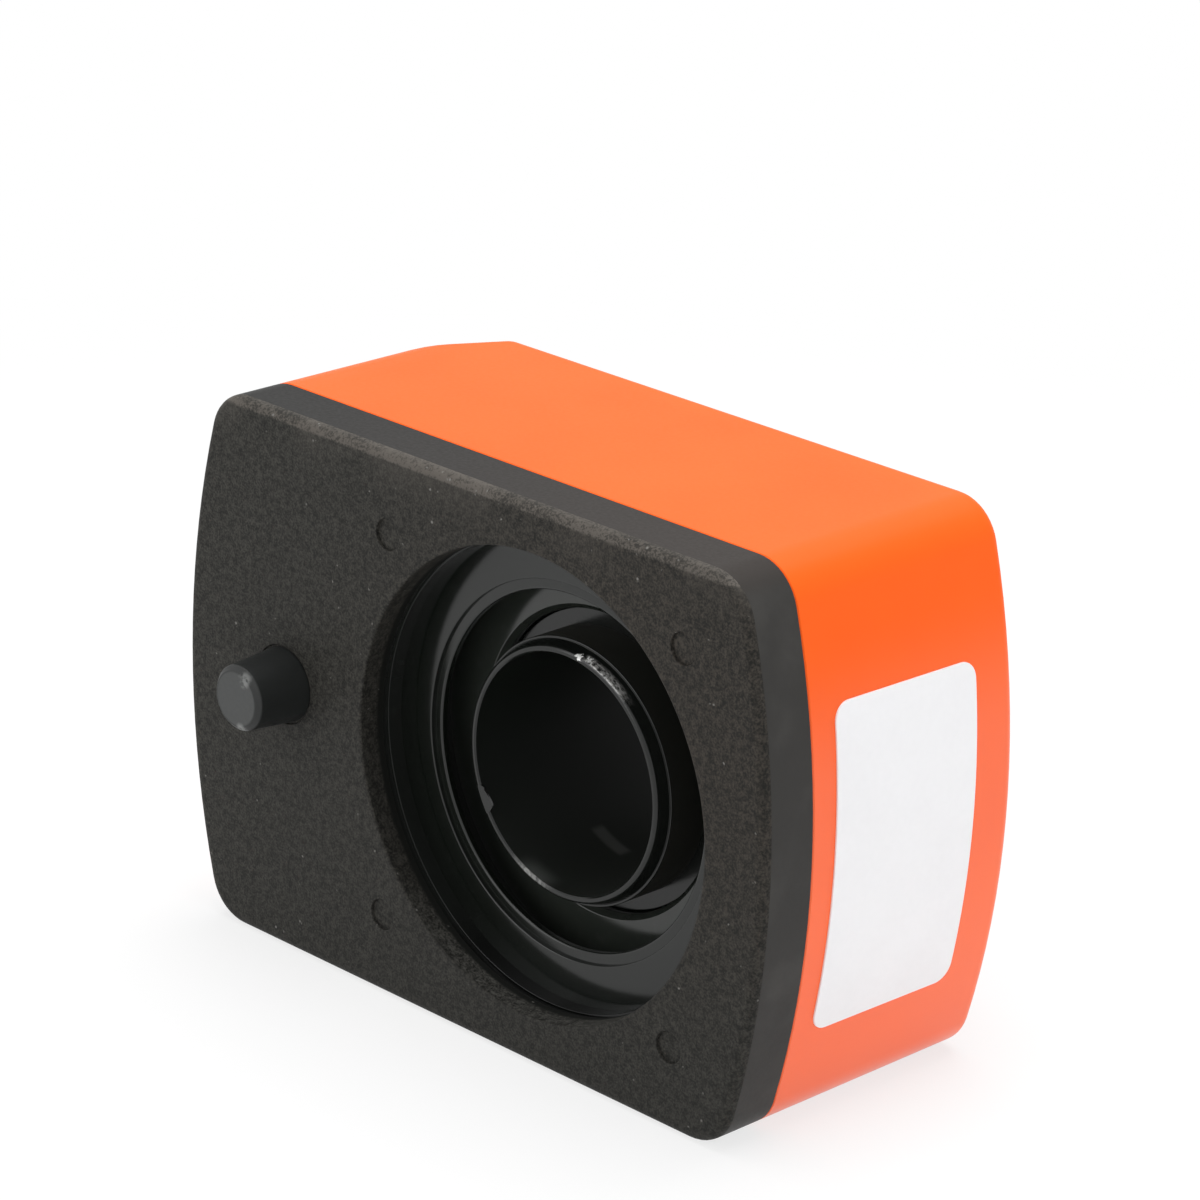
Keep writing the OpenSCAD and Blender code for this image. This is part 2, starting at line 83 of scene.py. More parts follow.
# slack for lengths, in mm, and the angle from which an edge is sharp
hair, sharpAngle = 0.001, math.radians(32)
print("frame loaded:", len(nodes), "nodes")


# a node of any kind: values or links for its sockets, and its settings
def newNode(tree, kind, sockets=None, settings=None):
    made = tree.nodes.new(kind)
    for name, value in (settings or {}).items():
        setattr(made, name, value)
    for name, value in (sockets or {}).items():
        value = getattr(value, "socket", value)
        if isinstance(value, bpy.types.NodeSocket):
            tree.links.new(value, made.inputs[name])
        else:
            made.inputs[name].default_value = value
    return made


class Wire:
    # a shader socket: sums and products add Math nodes, and names stand for the material's settings
    def __init__(self, tree, socket=None, settings=None):
        self.tree, self.socket, self.settings = tree, socket, settings

    def node(self, kind, sockets=None, settings=None, out=0):
        made = newNode(self.tree, "ShaderNode" + kind, sockets, settings)
        return Wire(self.tree, made.outputs[out], self.settings)

    # two values: one setting that holds both, or each by itself
    def pair(self, values):
        values = self.settings[values[0]] if len(values) == 1 else values
        return [self.settings[v] if isinstance(v, str) else v for v in values]

    def maths(self, operation, a, b=0.0):
        return self.node("Math", {0: a, 1: b}, {"operation": operation})

    def __add__(self, other):
        return self.maths("ADD", self, other)

    def __sub__(self, other):
        return self.maths("SUBTRACT", self, other)

    def __rsub__(self, other):
        return self.maths("SUBTRACT", other, self)

    def __mul__(self, other):
        return self.maths("MULTIPLY", self, other)

    def __truediv__(self, other):
        return self.maths("DIVIDE", self, other)

    def __abs__(self):
        return self.maths("ABSOLUTE", self)

    __radd__ = __add__
    __rmul__ = __mul__

    # 0 at the first limit, 1 at the second, smooth between
    def step(self, *limits):
        low, high = self.pair(limits)
        sockets = {"Value": self, "From Min": low, "From Max": high}
        return self.node("MapRange", sockets, {"interpolation_type": "SMOOTHSTEP"})

    # a value that follows this noise: its mean and its spread
    def about(self, *values):
        mean, spread = self.pair(values)
        return mean + spread * (self - 0.5)

    # a share of this and the rest of another
    def blended(self, share, other):
        share = self.settings[share]
        return share * self + (1 - share) * other

    # one colour where this is 0, another where it is 1
    def colour(self, *colours):
        low, high = (c + (1.0,) if isinstance(c, tuple) else c for c in self.pair(colours))
        return self.node("Mix", {0: self, 6: low, 7: high}, {"data_type": "RGBA"}, 2)

    # a normal from this height, as strong and as deep as the settings say
    def bumped(self):
        depth = self.settings.get("depth", fineBump)
        return self.node("Bump", {"Strength": self.settings["bump"], "Distance": depth, "Height": self})

    def noise(self, scale, detail=2.0, roughness=0.5):
        sockets = {"Vector": self, "Scale": scale, "Detail": detail, "Roughness": roughness}
        return self.node("TexNoise", sockets)

    def axis(self, name):
        return self.node("SeparateXYZ", {0: self}, out=name)

    def stretched(self, scale):
        return self.node("Mapping", {"Vector": self, "Scale": scale})

    # distance from a point, in metres
    def away(self, point):
        return self.node("VectorMath", {0: self, 1: point}, {"operation": "DISTANCE"}, "Value")

    # distance from a line along Y at x, in metres
    def radius(self, x=0.0):
        return self.stretched((1, 0, 1)).away((x, 0, 0))

    # angle about the shaft's axis, in degrees
    def angle(self):
        x, z = self.axis("X"), self.axis("Z")
        return x.maths("ARCTAN2", z, x) * math.degrees(1)


# a material with its constants, a wire from Object coordinates, and the noises that its settings name
def newMaterial(name, settings, noises="", **constants):
    material = bpy.data.materials.new(name)
    material.use_nodes = True
    tree = material.node_tree
    if "specular" in settings:
        constants["Specular_IOR_Level"] = settings["specular"]
    for socket, value in constants.items():
        tree.nodes["Principled BSDF"].inputs[socket.replace("_", " ")].default_value = value
    place = Wire(tree, settings=settings).node("TexCoord", out="Object")
    return [material, place] + [place.noise(*settings[key]) for key in noises.split()]


# wires into a material's shader, and a normal from a height
def feed(material, colour, roughness, height=None, **others):
    wires = {"Base Color": colour, "Roughness": roughness, **others}
    if height:
        wires["Normal"] = height.bumped()
    tree = material.node_tree
    for name, wire in wires.items():
        tree.links.new(wire.socket, tree.nodes["Principled BSDF"].inputs[name.replace("_", " ")])
    return material


# height of the finest bumps, in metres
fineBump = 0.00002

orange = {
    "colours": ((0.97, 0.121, 0.009), (0.95, 0.112, 0.008)), "blend": (0.3, 0.75),
    "drift": (70, 3), "grain": (2600, 2), "roughness": (0.42, 0.1), "driftRough": 0.06, "bump": 0.12,
    "specular": 0.12, "coat": 0.4, "sheen": (0.005, 0.018),
}


# glossier low down than along the rubbed upper side
def orangePlastic():
    material, place, drift, grain = newMaterial("orangePlastic", orange, "drift grain", Coat_Roughness=orange["coat"])
    return feed(
        material, drift.step("blend").colour("colours"),
        grain.about("roughness") + drift.about(0, "driftRough"), grain, Coat_Weight=1 - place.axis("Z").step("sheen"),
    )


spark = {
    "dark": (0.0085, 0.0083, 0.0071), "light": (0.0405, 0.0388, 0.0338),
    "warm": (0.0465, 0.0392, 0.0322), "pale": (0.05, 0.048, 0.0415),
    "rubbed": (0.094, 0.084, 0.073), "speck": (0.16, 0.155, 0.145), "scuffed": (0.003, 0.003, 0.003),
    "wall": (0.085, 0.083, 0.075), "deep": (0.006, 0.0065, 0.0055),
    "grain": (5200, 3, 0.6), "coarse": (1700, 2), "patch": (130, 3), "grainShare": 0.65, "blend": (0.36, 0.67),
    "specks": 1700, "chance": (1190, 1), "speckSize": (0.1, 0.3), "speckChance": (0.66, 0.72), "moreSpecks": 0.07,
    "warmX": (-0.03, 0.015), "warmZ": (-0.022, 0.012),
    "paleX": (-0.042, -0.005), "paleZ": (0, 0.024), "paleShares": (0.35, 0.25),
    "wallRadius": (0.0196, 0.0197), "wallStart": (0.0001, 0.0003), "wallEnd": (0.0016, 0.002),
    "wallLow": (-0.019, -0.012),
    "scuff": (-0.0095, -0.0164), "scuffSize": (0.00036, 0.0009), "scuffGrain": (0.4, 0.55),
    "edge": (0.02255, 0.02285), "nearEdge": (0.019, 0.0232), "edgeTop": (0.0228, 0.0234), "patches": (0.4, 0.6),
    "wearShare": 0.75, "wearPatch": 0.4, "wear": (0.4, 0.62), "rubLeast": 0.25, "rubWorn": 0.85,
    "rubMost": 1.1, "rubFade": 0.5, "rubNear": 0.22,
    "specular": 0.16, "roughness": (0.64, 0.2), "bump": 0.5, "bumpShare": 0.7, "depth": 0.00005,
}


# eroded texture with bright specks, paler along the top edge from wear and a painted highlight, painted shade dark
# deep in the recess, and painted light towards the left, the top and on the low recess wall
def sparkBlack(faceY):
    material, place, grain, coarse, patch, chance = newMaterial("sparkBlack", spark, "grain coarse patch chance")
    across, up, depth = place.axis("X"), place.axis("Z"), place.axis("Y") - faceY
    edge, nearEdge = up.step("edge"), up.step("nearEdge")
    cells = place.node("TexVoronoi", {"Vector": place, "Scale": spark["specks"]}, out="Distance")
    lucky = (chance + spark["moreSpecks"] * nearEdge).step("speckChance")
    specks = (1 - cells.step("speckSize")) * lucky

    warmth = across.step("warmX") * up.step("warmZ")
    # painted light: paler towards the left and the top
    byAcross, byUp = spark["paleShares"]
    paintedLightness = byAcross * (1 - across.step("paleX")) + byUp * up.step("paleZ")
    light = paintedLightness.colour(warmth.colour("light", "warm"), "pale")
    # painted light: the recess wall is paler low down
    inside = 1 - place.radius().step("wallRadius")
    paintedLightLowWall = inside * depth.step("wallStart") * (1 - up.step("wallLow"))
    light = paintedLightLowWall.colour(light, "wall")
    base = grain.blended("grainShare", coarse).step("blend").colour("dark", light)
    # painted shade: dark deep in the recess
    base = (inside * depth.step("wallEnd")).colour(base, "deep")

    scuffX, scuffZ = spark["scuff"]
    scuffed = 1 - place.away((scuffX, faceY, scuffZ)).step("scuffSize")
    base = (scuffed * coarse.step("scuffGrain")).colour(base, "scuffed")
    # paler top edge: partly wear, partly a painted highlight; fade is painted shade that weakens it on the upper half
    # of the rounding, which faces the light
    wear = (grain.blended("wearShare", coarse) + patch.about(0, "wearPatch")).step("wear")
    fade = spark["rubMost"] - spark["rubFade"] * up.step("edgeTop")
    rub = edge * (spark["rubLeast"] + spark["rubWorn"] * wear) * fade
    rub = rub + spark["rubNear"] * nearEdge * patch.step("patches")
    worn = rub.colour(base, "rubbed")
    return feed(material, specks.colour(worn, "speck"), grain.about("roughness"), grain.blended("bumpShare", coarse))


smooth = {
    "colours": ((0.0315, 0.0302, 0.0282), (0.05, 0.048, 0.045)), "scuffs": (0.45, 0.8),
    "topColours": ((0.003, 0.0029, 0.0023), (0.0225, 0.0175, 0.0145)), "topX": (-0.045, 0.03),
    "top": (0.0215, 0.0234), "drift": (160, 4), "fine": (3200, 2),
    "specular": 0.15, "roughness": (0.5, 0.16), "bump": 0.15,
}


# moulded black of the plate's sides, with painted shade darkening the top side, most towards the left
def smoothBlack():
    material, place, drift, fine = newMaterial("smoothBlack", smooth, "drift fine")
    sides = drift.step("scuffs").colour("colours")
    # painted shade on the top side, darkest towards the left
    top = place.axis("X").step("topX").colour("topColours")
    return feed(material, place.axis("Z").step("top").colour(sides, top), fine.about("roughness"), fine)


# chips: x and z from the pin's axis, and size, in mm
pinFinish = {
    "side": (0.015, 0.0162, 0.0157), "tip": (0.07, 0.0725, 0.0715), "rim": (0.034, 0.035, 0.0345),
    "chip": (0.17, 0.174, 0.17), "chips": ((1.0, 1.85, 0.85), (0.6, -2.45, 0.7)), "chipCore": 0.4,
    "chipDepth": 0.0002, "chipBlotch": (0.32, 0.56), "fine": (2600, 3), "blotch": (1900, 3),
    "tipDepth": (0.0003, 0.0006), "rimWidth": (0.00062, 0.0004), "tipShare": (0.8, 0.4),
    "specular": 0.2, "roughness": (0.4, 0.2), "tipRough": 0.15, "bump": 0.2,
}


# the pin's dark side, its greyer tip and two chips on the tip's rim
def pinBlack(tipY, tipRadius):
    material, place, fine, blotch = newMaterial("pinBlack", pinFinish, "fine blotch")
    onTip = 1 - (place.axis("Y") - tipY).step("tipDepth")
    flat = 1 - place.radius(pinX).step(*(tipRadius - width for width in pinFinish["rimWidth"]))
    chips = 0.0
    for x, z, size in pinFinish["chips"]:
        spot = place.away((pinX + x * mm, tipY + pinFinish["chipDepth"], z * mm))
        core = 1 - spot.step(pinFinish["chipCore"] * size * mm, size * mm)
        chips = chips + core * blotch.step("chipBlotch")
    tip = flat.colour("rim", "tip")
    base = (onTip * fine.about("tipShare")).colour("side", tip)
    return feed(material, chips.colour(base, "chip"), fine.about("roughness") + pinFinish["tipRough"] * onTip, fine)


gloss = {
    "recess": {
        "colours": ((0.0058, 0.0072, 0.0058), (0.0088, 0.0102, 0.0088)),
        "ends": (0.0118, 0.0135, 0.012), "specular": 0.42,
    },
    "wall": {
        "colours": ((0.0105, 0.0118, 0.0105), (0.013, 0.0145, 0.013)),
        "ends": (0.003, 0.0034, 0.003), "specular": 0.22,
    },
    # bush tone lifted: painted light where the rear bush sits in shade
    "bush": {"colours": ((0.021, 0.0242, 0.0206), (0.026, 0.029, 0.0255)), "specular": 0.5},
    "fine": (900, 3), "drift": (140, 3), "blend": (0.5, 0.85), "endSquares": (0.0002, 0.00035),
    "roughness": (0.14, 0.06), "fineRough": 0.03, "bump": 0.02,
}


# polished black of the bushes and of the recess; painted light lifts the bush tone and the recess's top and foot,
# painted shade darkens the wall's top and foot
def glossBlack(name):
    finish = {**gloss, **gloss[name]}
    material, place, fine, drift = newMaterial(name + "Black", finish, "fine drift")
    up = place.axis("Z")
    base = fine.step("blend").colour("colours")
    if "ends" in finish:
        # painted light at the top and foot of the recess, painted shade at those of the wall
        base = (up * up).step("endSquares").colour(base, "ends")
    return feed(material, base, drift.about("roughness") + fine.about(0, "fineRough"), drift)


# angles are in degrees; flakes: angle, distance out from the bore and depth, in mm
oxide = {
    "colours": ((0.0075, 0.0086, 0.0076), (0.012, 0.0128, 0.0116)), "haze": (0.45, 0.85),
    "fine": (1400, 4, 0.65), "ragged": (3600, 3, 0.6), "rings": 9000, "lathe": (1.0, 3),
    "streaks": (1.0, 4, 0.7), "streakDepth": 6500, "streakAngle": 0.35,
    "bare": (0.5, 0.495, 0.48), "bareFrom": (47, 61), "bareTo": (77, 81), "bareFlat": (0.000405, 0.000495),
    "bareDepth": (0.0004, 0.0008), "bareStreaks": (0.38, 0.6), "bareFine": 0.3, "bareMetal": 0.5, "bareRough": 0.2,
    "rubbed": (0.26, 0.26, 0.25), "rubFrom": (-124, -110), "rubTo": (-106, -94),
    "rubFlat": (0.0002, 0.00045), "rubStreaks": (0.3, 0.6),
    "flake": (0.9, 0.9, 0.88), "flakes": ((82.2, 0.58, 0.1), (76.8, 0.68, 0.4)), "flakeSize": 0.00035,
    "flakeRagged": 3.6, "flakeEdge": (0.7, 0.9),
    "specular": 0.38, "roughness": (0.17, 0.1), "fineRough": 0.05, "bump": 0.04,
}


# blackened turned steel, rubbed bare along one stretch of the rim, paler along another, with two flakes
def blackSteel(rimY, boreRadius):
    material, place, fine, ragged = newMaterial("blackSteel", oxide, "fine ragged")
    y, angle, radius = place.axis("Y"), place.angle(), place.radius()
    depth, out = y - rimY, radius - boreRadius
    rings = place.node("CombineXYZ", {"X": radius * oxide["rings"], "Y": y * oxide["rings"]})
    lathe = rings.noise(*oxide["lathe"])
    along = place.node("CombineXYZ", {"X": depth * oxide["streakDepth"], "Y": angle * oxide["streakAngle"]})
    streaks = along.noise(*oxide["streaks"])

    bare = angle.step("bareFrom") * (1 - angle.step("bareTo"))
    bare = bare * (out.step("bareFlat") * (1 - depth.step("bareDepth")))
    bare = bare * (streaks + fine.about(0, "bareFine")).step("bareStreaks")
    rub = angle.step("rubFrom") * (1 - angle.step("rubTo"))
    rub = rub * (1 - out.step("rubFlat")) * streaks.step("rubStreaks")
    flakes = 0.0
    for turn, outward, deep in oxide["flakes"]:
        turn, reach = math.radians(turn), boreRadius + outward * mm
        spot = place.away((reach * math.cos(turn), rimY + deep * mm, reach * math.sin(turn)))
        uneven = spot / oxide["flakeSize"] + ragged.about(0, "flakeRagged")
        flakes = flakes + (1 - uneven.step("flakeEdge"))
    base = fine.step("haze").colour("colours")
    worn = bare.colour(rub.colour(base, "rubbed"), "bare")
    return feed(
        material, flakes.colour(worn, "flake"),
        lathe.about("roughness") + fine.about(0, "fineRough") + oxide["bareRough"] * bare,
        lathe, Metallic=oxide["bareMetal"] * bare,
    )


# angles are in degrees
bore = {
    "colour": (0.0052, 0.0068, 0.0053), "low": (0.0125, 0.0142, 0.0122), "lowFrom": (-0.0098, -0.003),
    "tail": (0.0245, 0.0248, 0.021), "tailOut": (0.0003, 0.0006),
    "mark": (0.058, 0.06, 0.056), "markAngle": 250, "markSpan": (8, 12),
    "markDepth": 0.0092, "markWidth": (0.0004, 0.0009),
    "rub": (0.062, 0.066, 0.062), "rubAngle": 253, "rubSpan": (2, 14), "rubDepth": (0.0003, 0.0022),
    "drift": (120, 3), "specular": 0.16, "roughness": (0.5, 0.1),
}


# dull oxide in the bore, with a faint mark and a rub inside the rim, paler towards the bottom of the bore and on the
# tail behind the rim
def boreBlack(rimY, boreRadius):
    material, place, drift = newMaterial("boreBlack", bore, "drift")
    angle = place.angle() + 360
    outside = (place.radius() - boreRadius).step("tailOut")
    depth = place.axis("Y") - rimY
    mark = 1 - abs(depth - bore["markDepth"]).step("markWidth")
    mark = mark * (1 - abs(angle - bore["markAngle"]).step("markSpan"))
    rub = 1 - abs(angle - bore["rubAngle"]).step("rubSpan")
    rub = rub * (1 - depth.step("rubDepth")) * (1 - outside)
    inner = (1 - place.axis("Z").step("lowFrom")).colour("colour", "low")
    base = rub.colour(outside.colour(inner, "tail"), "rub")
    return feed(material, mark.colour(base, "mark"), drift.about("roughness"))


steel = {
    "colours": ((0.58, 0.58, 0.57), (0.48, 0.475, 0.46)), "blend": (0.3, 0.8), "grainRun": (40, 40, 1),
    "rolled": (120, 3), "blotch": (400, 3), "roughness": (0.3, 0.16), "blotchRough": 0.1, "bump": 0.05,
}


def brightSteel():
    material, place, blotch = newMaterial("brightSteel", steel, "blotch", Metallic=1.0)
    rolled = place.stretched(steel["grainRun"]).noise(*steel["rolled"])
    return feed(
        material, blotch.step("blend").colour("colours"),
        rolled.about("roughness") + blotch.about(0, "blotchRough"), rolled,
    )


counter = {
    "ivoryPlastic": {
        "colours": ((0.72, 0.69, 0.6), (0.66, 0.62, 0.52)), "blend": (0.3, 0.8),
        "drift": (220, 3), "fine": (2400, 2), "specular": 0.45, "roughness": (0.46, 0.12), "bump": 0.08,
    },
    "wheelBlack": {
        "colours": ((0.016, 0.016, 0.017), (0.024, 0.024, 0.025)), "blend": (0.3, 0.8),
        "drift": (300, 2), "fine": (2600, 3), "specular": 0.4, "roughness": (0.5, 0.14), "bump": 0.1,
    },
    "digitInk": {
        "colours": ((0.86, 0.86, 0.84), (0.76, 0.76, 0.74)), "blend": (0.35, 0.8),
        "drift": (3000, 3), "fine": (3000, 3), "specular": 0.35, "roughness": (0.55, 0.1),
    },
}


# plain finishes of the counter: gears, wheels and the print on them
def counterFinish(name):
    finish = counter[name]
    material, _, drift, fine = newMaterial(name, finish, "drift fine")
    base, height = drift.step("blend").colour("colours"), fine if "bump" in finish else None
    return feed(material, base, fine.about("roughness"), height)


film = {
    "colours": ((0.86, 0.86, 0.875), (0.83, 0.83, 0.845)), "blend": (0.3, 0.75), "driftShare": 0.6,
    "fibre": (1600, 4, 0.6), "drift": (120, 3), "specular": 0.35, "roughness": (0.5, 0.12),
    "bump": 0.06, "depth": 0.0001,
}


def labelFilm():
    material, _, fibre, drift = newMaterial("labelFilm", film, "fibre drift")
    cloudy = drift.blended("driftShare", fibre)
    return feed(material, cloudy.step("blend").colour("colours"), fibre.about("roughness"), cloudy)


clear = {
    "colours": ((0.97, 0.985, 0.985), (0.94, 0.96, 0.96)), "blend": (0.4, 0.8), "haze": (500, 3),
    "roughness": 0.02, "hazeRough": 0.04, "hazeFrom": (0.55, 0.8), "ior": 1.49,
}


def clearPlastic():
    material, _, haze = newMaterial("clearPlastic", clear, "haze", Transmission_Weight=1.0, IOR=clear["ior"])
    return feed(
        material, haze.step("blend").colour("colours"),
        clear["roughness"] + clear["hazeRough"] * haze.step("hazeFrom"),
    )


body = {
    "bow": 3.7, "corner": 4.2, "edge": 0.8, "wall": 2.0, "parting": 5.4, "partingGroove": 0.1,
    "slantStart": 11.7, "slantRun": 9.4, "crease": 0.9, "support": 0.2,
    "cornerSteps": 10, "bowSteps": 18, "edgeSteps": 5, "creaseSteps": 6,
}

shellLow, shellHigh = (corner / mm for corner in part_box("housing"))
displayEnd, labelEnd, half, front = shellLow.x, shellHigh.x, shellHigh.z, shellHigh.y
rear = mounts["rear_face"]["pos_m"][1] / mm
endRadius = (half ** 2 + body["bow"] ** 2) / (2 * body["bow"])
slantFoot, slantRise = rear + body["slantStart"], front - rear - body["slantStart"]
slant, slantLength = math.atan2(slantRise, body["slantRun"]), math.hypot(body["slantRun"], slantRise)
creaseX, creaseTrim = displayEnd + body["slantRun"], body["crease"] * math.tan(slant / 2)


def arc(cx, cz, radius, first, last, steps):
    angles = [first + (last - first) * k / steps for k in range(steps + 1)]
    return [(cx + radius * math.cos(a), cz + radius * math.sin(a)) for a in angles]


# the body's outline in x and z, moved in, with extra points at stations along its sides
def bodyOutline(inset, stations=()):
    r = body["corner"]
    z = half - r
    reach = math.sqrt((endRadius - r) ** 2 - z ** 2)
    a = math.atan2(z, reach)
    right, left = labelEnd - endRadius, displayEnd + endRadius
    corner, bow, turn = body["cornerSteps"], body["bowSteps"], math.pi / 2
    side = sorted(stations)
    return (
        arc(right + reach, -z, r - inset, -turn, -a, corner)
        + arc(right, 0, endRadius - inset, -a, a, bow)[1:-1]
        + arc(right + reach, z, r - inset, a, turn, corner)
        + [(x, half - inset) for x in reversed(side)]
        + arc(left - reach, z, r - inset, turn, math.pi - a, corner)
        + arc(left, 0, endRadius - inset, math.pi - a, math.pi + a, bow)[1:-1]
        + arc(left - reach, -z, r - inset, math.pi + a, 3 * turn, corner)
        + [(x, inset - half) for x in side]
    )


# height of the front at x: up the slant, round the crease, then flat
def frontAt(x):
    if x >= creaseX + creaseTrim:
        return front
    if x <= creaseX - creaseTrim * math.cos(slant):
        return slantFoot + (x - displayEnd) * math.tan(slant)
    return front - body["crease"] + math.sqrt(body["crease"] ** 2 - (x - creaseX - creaseTrim) ** 2)


# corners (u, v, radius) of a path as arcs, with a point before and after each
def softened(corners, closed=True, steps=4, support=0.4):
    path = []
    for k, (u, v, radius) in enumerate(corners):
        here = Vector((u, v))
        if not radius or (not closed and k in (0, len(corners) - 1)):
            path.append(here)
            continue
        into = (here - Vector(corners[k - 1][:2])).normalized()
        out = (Vector(corners[(k + 1) % len(corners)][:2]) - here).normalized()
        turn = math.atan2(into.cross(out), into.dot(out))
        reach = radius * math.tan(abs(turn) / 2)
        centre = here + (out - into).normalized() * radius / math.cos(turn / 2)
        spoke = here - into * reach - centre
        path.append(here - into * reach * (1 + support))
        path += [centre + Matrix.Rotation(turn * j / steps, 2) @ spoke for j in range(steps + 1)]
        path.append(here + out * reach * (1 + support))
    return [tuple(p) for p in path]


def ring(bm, points):
    return [bm.verts.new(p) for p in points]


def bridge(bm, first, second, slot=0, closed=True):
    for k in range(len(first) if closed else len(first) - 1):
        n = (k + 1) % len(first)
        bm.faces.new((first[k], first[n], second[n], second[k])).material_index = slot


# rings joined in order, with faces across both ends if capped
def loft(bm, rings, slot=0, capped=False):
    for a, b in zip(rings, rings[1:]):
        bridge(bm, a, b, slot)
    if capped:
        bm.faces.new(rings[0])
        bm.faces.new(rings[-1][::-1])


# the body's outline, moved in, at a depth from the rear face
def bodyRing(bm, inset, depth):
    return ring(bm, [(x, rear + depth, z) for x, z in bodyOutline(inset)])


# a flat face round holes: the first loop is its outline
def fillFlat(bm, loops, slot=0):
    edges = []
    for loop in loops:
        for a, b in zip(loop, loop[1:] + loop[:1]):
            edges.append(bm.edges.get((a, b)) or bm.edges.new((a, b)))
    made = bmesh.ops.triangle_fill(bm, use_beauty=True, edges=edges)
    for item in made["geom"]:
        if isinstance(item, bmesh.types.BMFace):
            item.material_index = slot


def circle(bm, cx, cz, radius, y, steps):
    return ring(bm, [(x, y, z) for x, z in arc(cx, cz, radius, 0, 2 * math.pi, steps)[:-1]])


# a shape turned about an axis along Y: radius, depth and rounding of its corners
def turned(bm, corners, cx=0.0, cz=0.0, sides=144, closed=False, steps=4, slotAt=None):
    path = softened(corners, closed, steps)
    rings = [circle(bm, cx, cz, r, rear + s, sides) for r, s in path]
    for k in range(len(rings) if closed else len(rings) - 1):
        n = (k + 1) % len(rings)
        bridge(bm, rings[k], rings[n], slotAt(path[k], path[n]) if slotAt else 0)
    return rings


def newObject(name, data, materials=()):
    for material in materials:
        data.materials.append(material)
    made = bpy.data.objects.new(name, data)
    bpy.context.scene.collection.objects.link(made)
    return made


# a plain mesh of an object as its modifiers leave it
def evaluatedMesh(item):
    graph = bpy.context.evaluated_depsgraph_get()
    return bpy.data.meshes.new_from_object(item.evaluated_get(graph))


# the mesh in metres, facing outwards, sharp only where it should be
def newPiece(name, bm, materials):
    bmesh.ops.recalc_face_normals(bm, faces=bm.faces)
    mesh = bpy.data.meshes.new(name)
    bm.to_mesh(mesh)
    bm.free()
    mesh.transform(Matrix.Scale(mm, 4))
    mesh.shade_smooth()
    mesh.set_sharp_from_angle(angle=sharpAngle)
    return newObject(name, mesh, materials)


def settle(piece, owner, slot, *replaced):
    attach(piece, owner)
    if replaced:
        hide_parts(*replaced)


# insets and drops of a quarter circle
def quarterTurn(radius, steps):
    angles = [math.pi / 2 * (1 - k / steps) for k in range(steps + 1)]
    return [(radius * (1 - math.cos(t)), radius * (1 - math.sin(t))) for t in angles]


# insets and drops of a rounded edge, from the flat face down the side
def edgeRings():
    e, extra, steps = body["edge"], body["support"], body["edgeSteps"]
    return [(e + extra, 0)] + quarterTurn(e, steps) + [(0, e + extra)]


rim = {"inset": 2.1, "wall": 1.2, "height": 2.0}
recess = {
    "radius": 19.45, "border": 0.5, "mouth": 0.2, "wall": 2.45, "draft": 0.03, "floor": 4.4,
    "groove": 0.12, "grooveWidth": 0.5, "grooveSlope": 0.05, "step": 0.1, "stepEdge": 0.07,
    "roll": 0.075, "rollWidth": 2.2, "rollSteps": 8, "ledgeRadius": 15.8, "lip": 0.1, "ledge": 4.78,
    "webRadius": 14.85, "webLip": 0.19, "webEdge": 0.05, "shoulder": 17.2,
    "bushRadius": 17.8, "bushDepth": 7.9, "bushEnd": 10.9, "bossRadius": 19.4, "edgeSteps": 6,
}
pin = {
    "height": 5.1, "chamfer": 0.4, "draft": 0.2, "border": 0.2, "foot": 0.05, "groove": 0.22, "grooveFoot": 0.132,
    "grooveDepth": 0.16, "shoulder": 0.25, "tipEdge": 0.15, "tipFlat": 0.9, "sides": 64,
}
marks = {
    "offset": 16.5, "radius": 1.35, "depth": 0.27, "border": 0.12, "edge": 0.06, "edgeSteps": 3,
    "draft": 0.04, "flat": 0.3, "sides": 40,
}


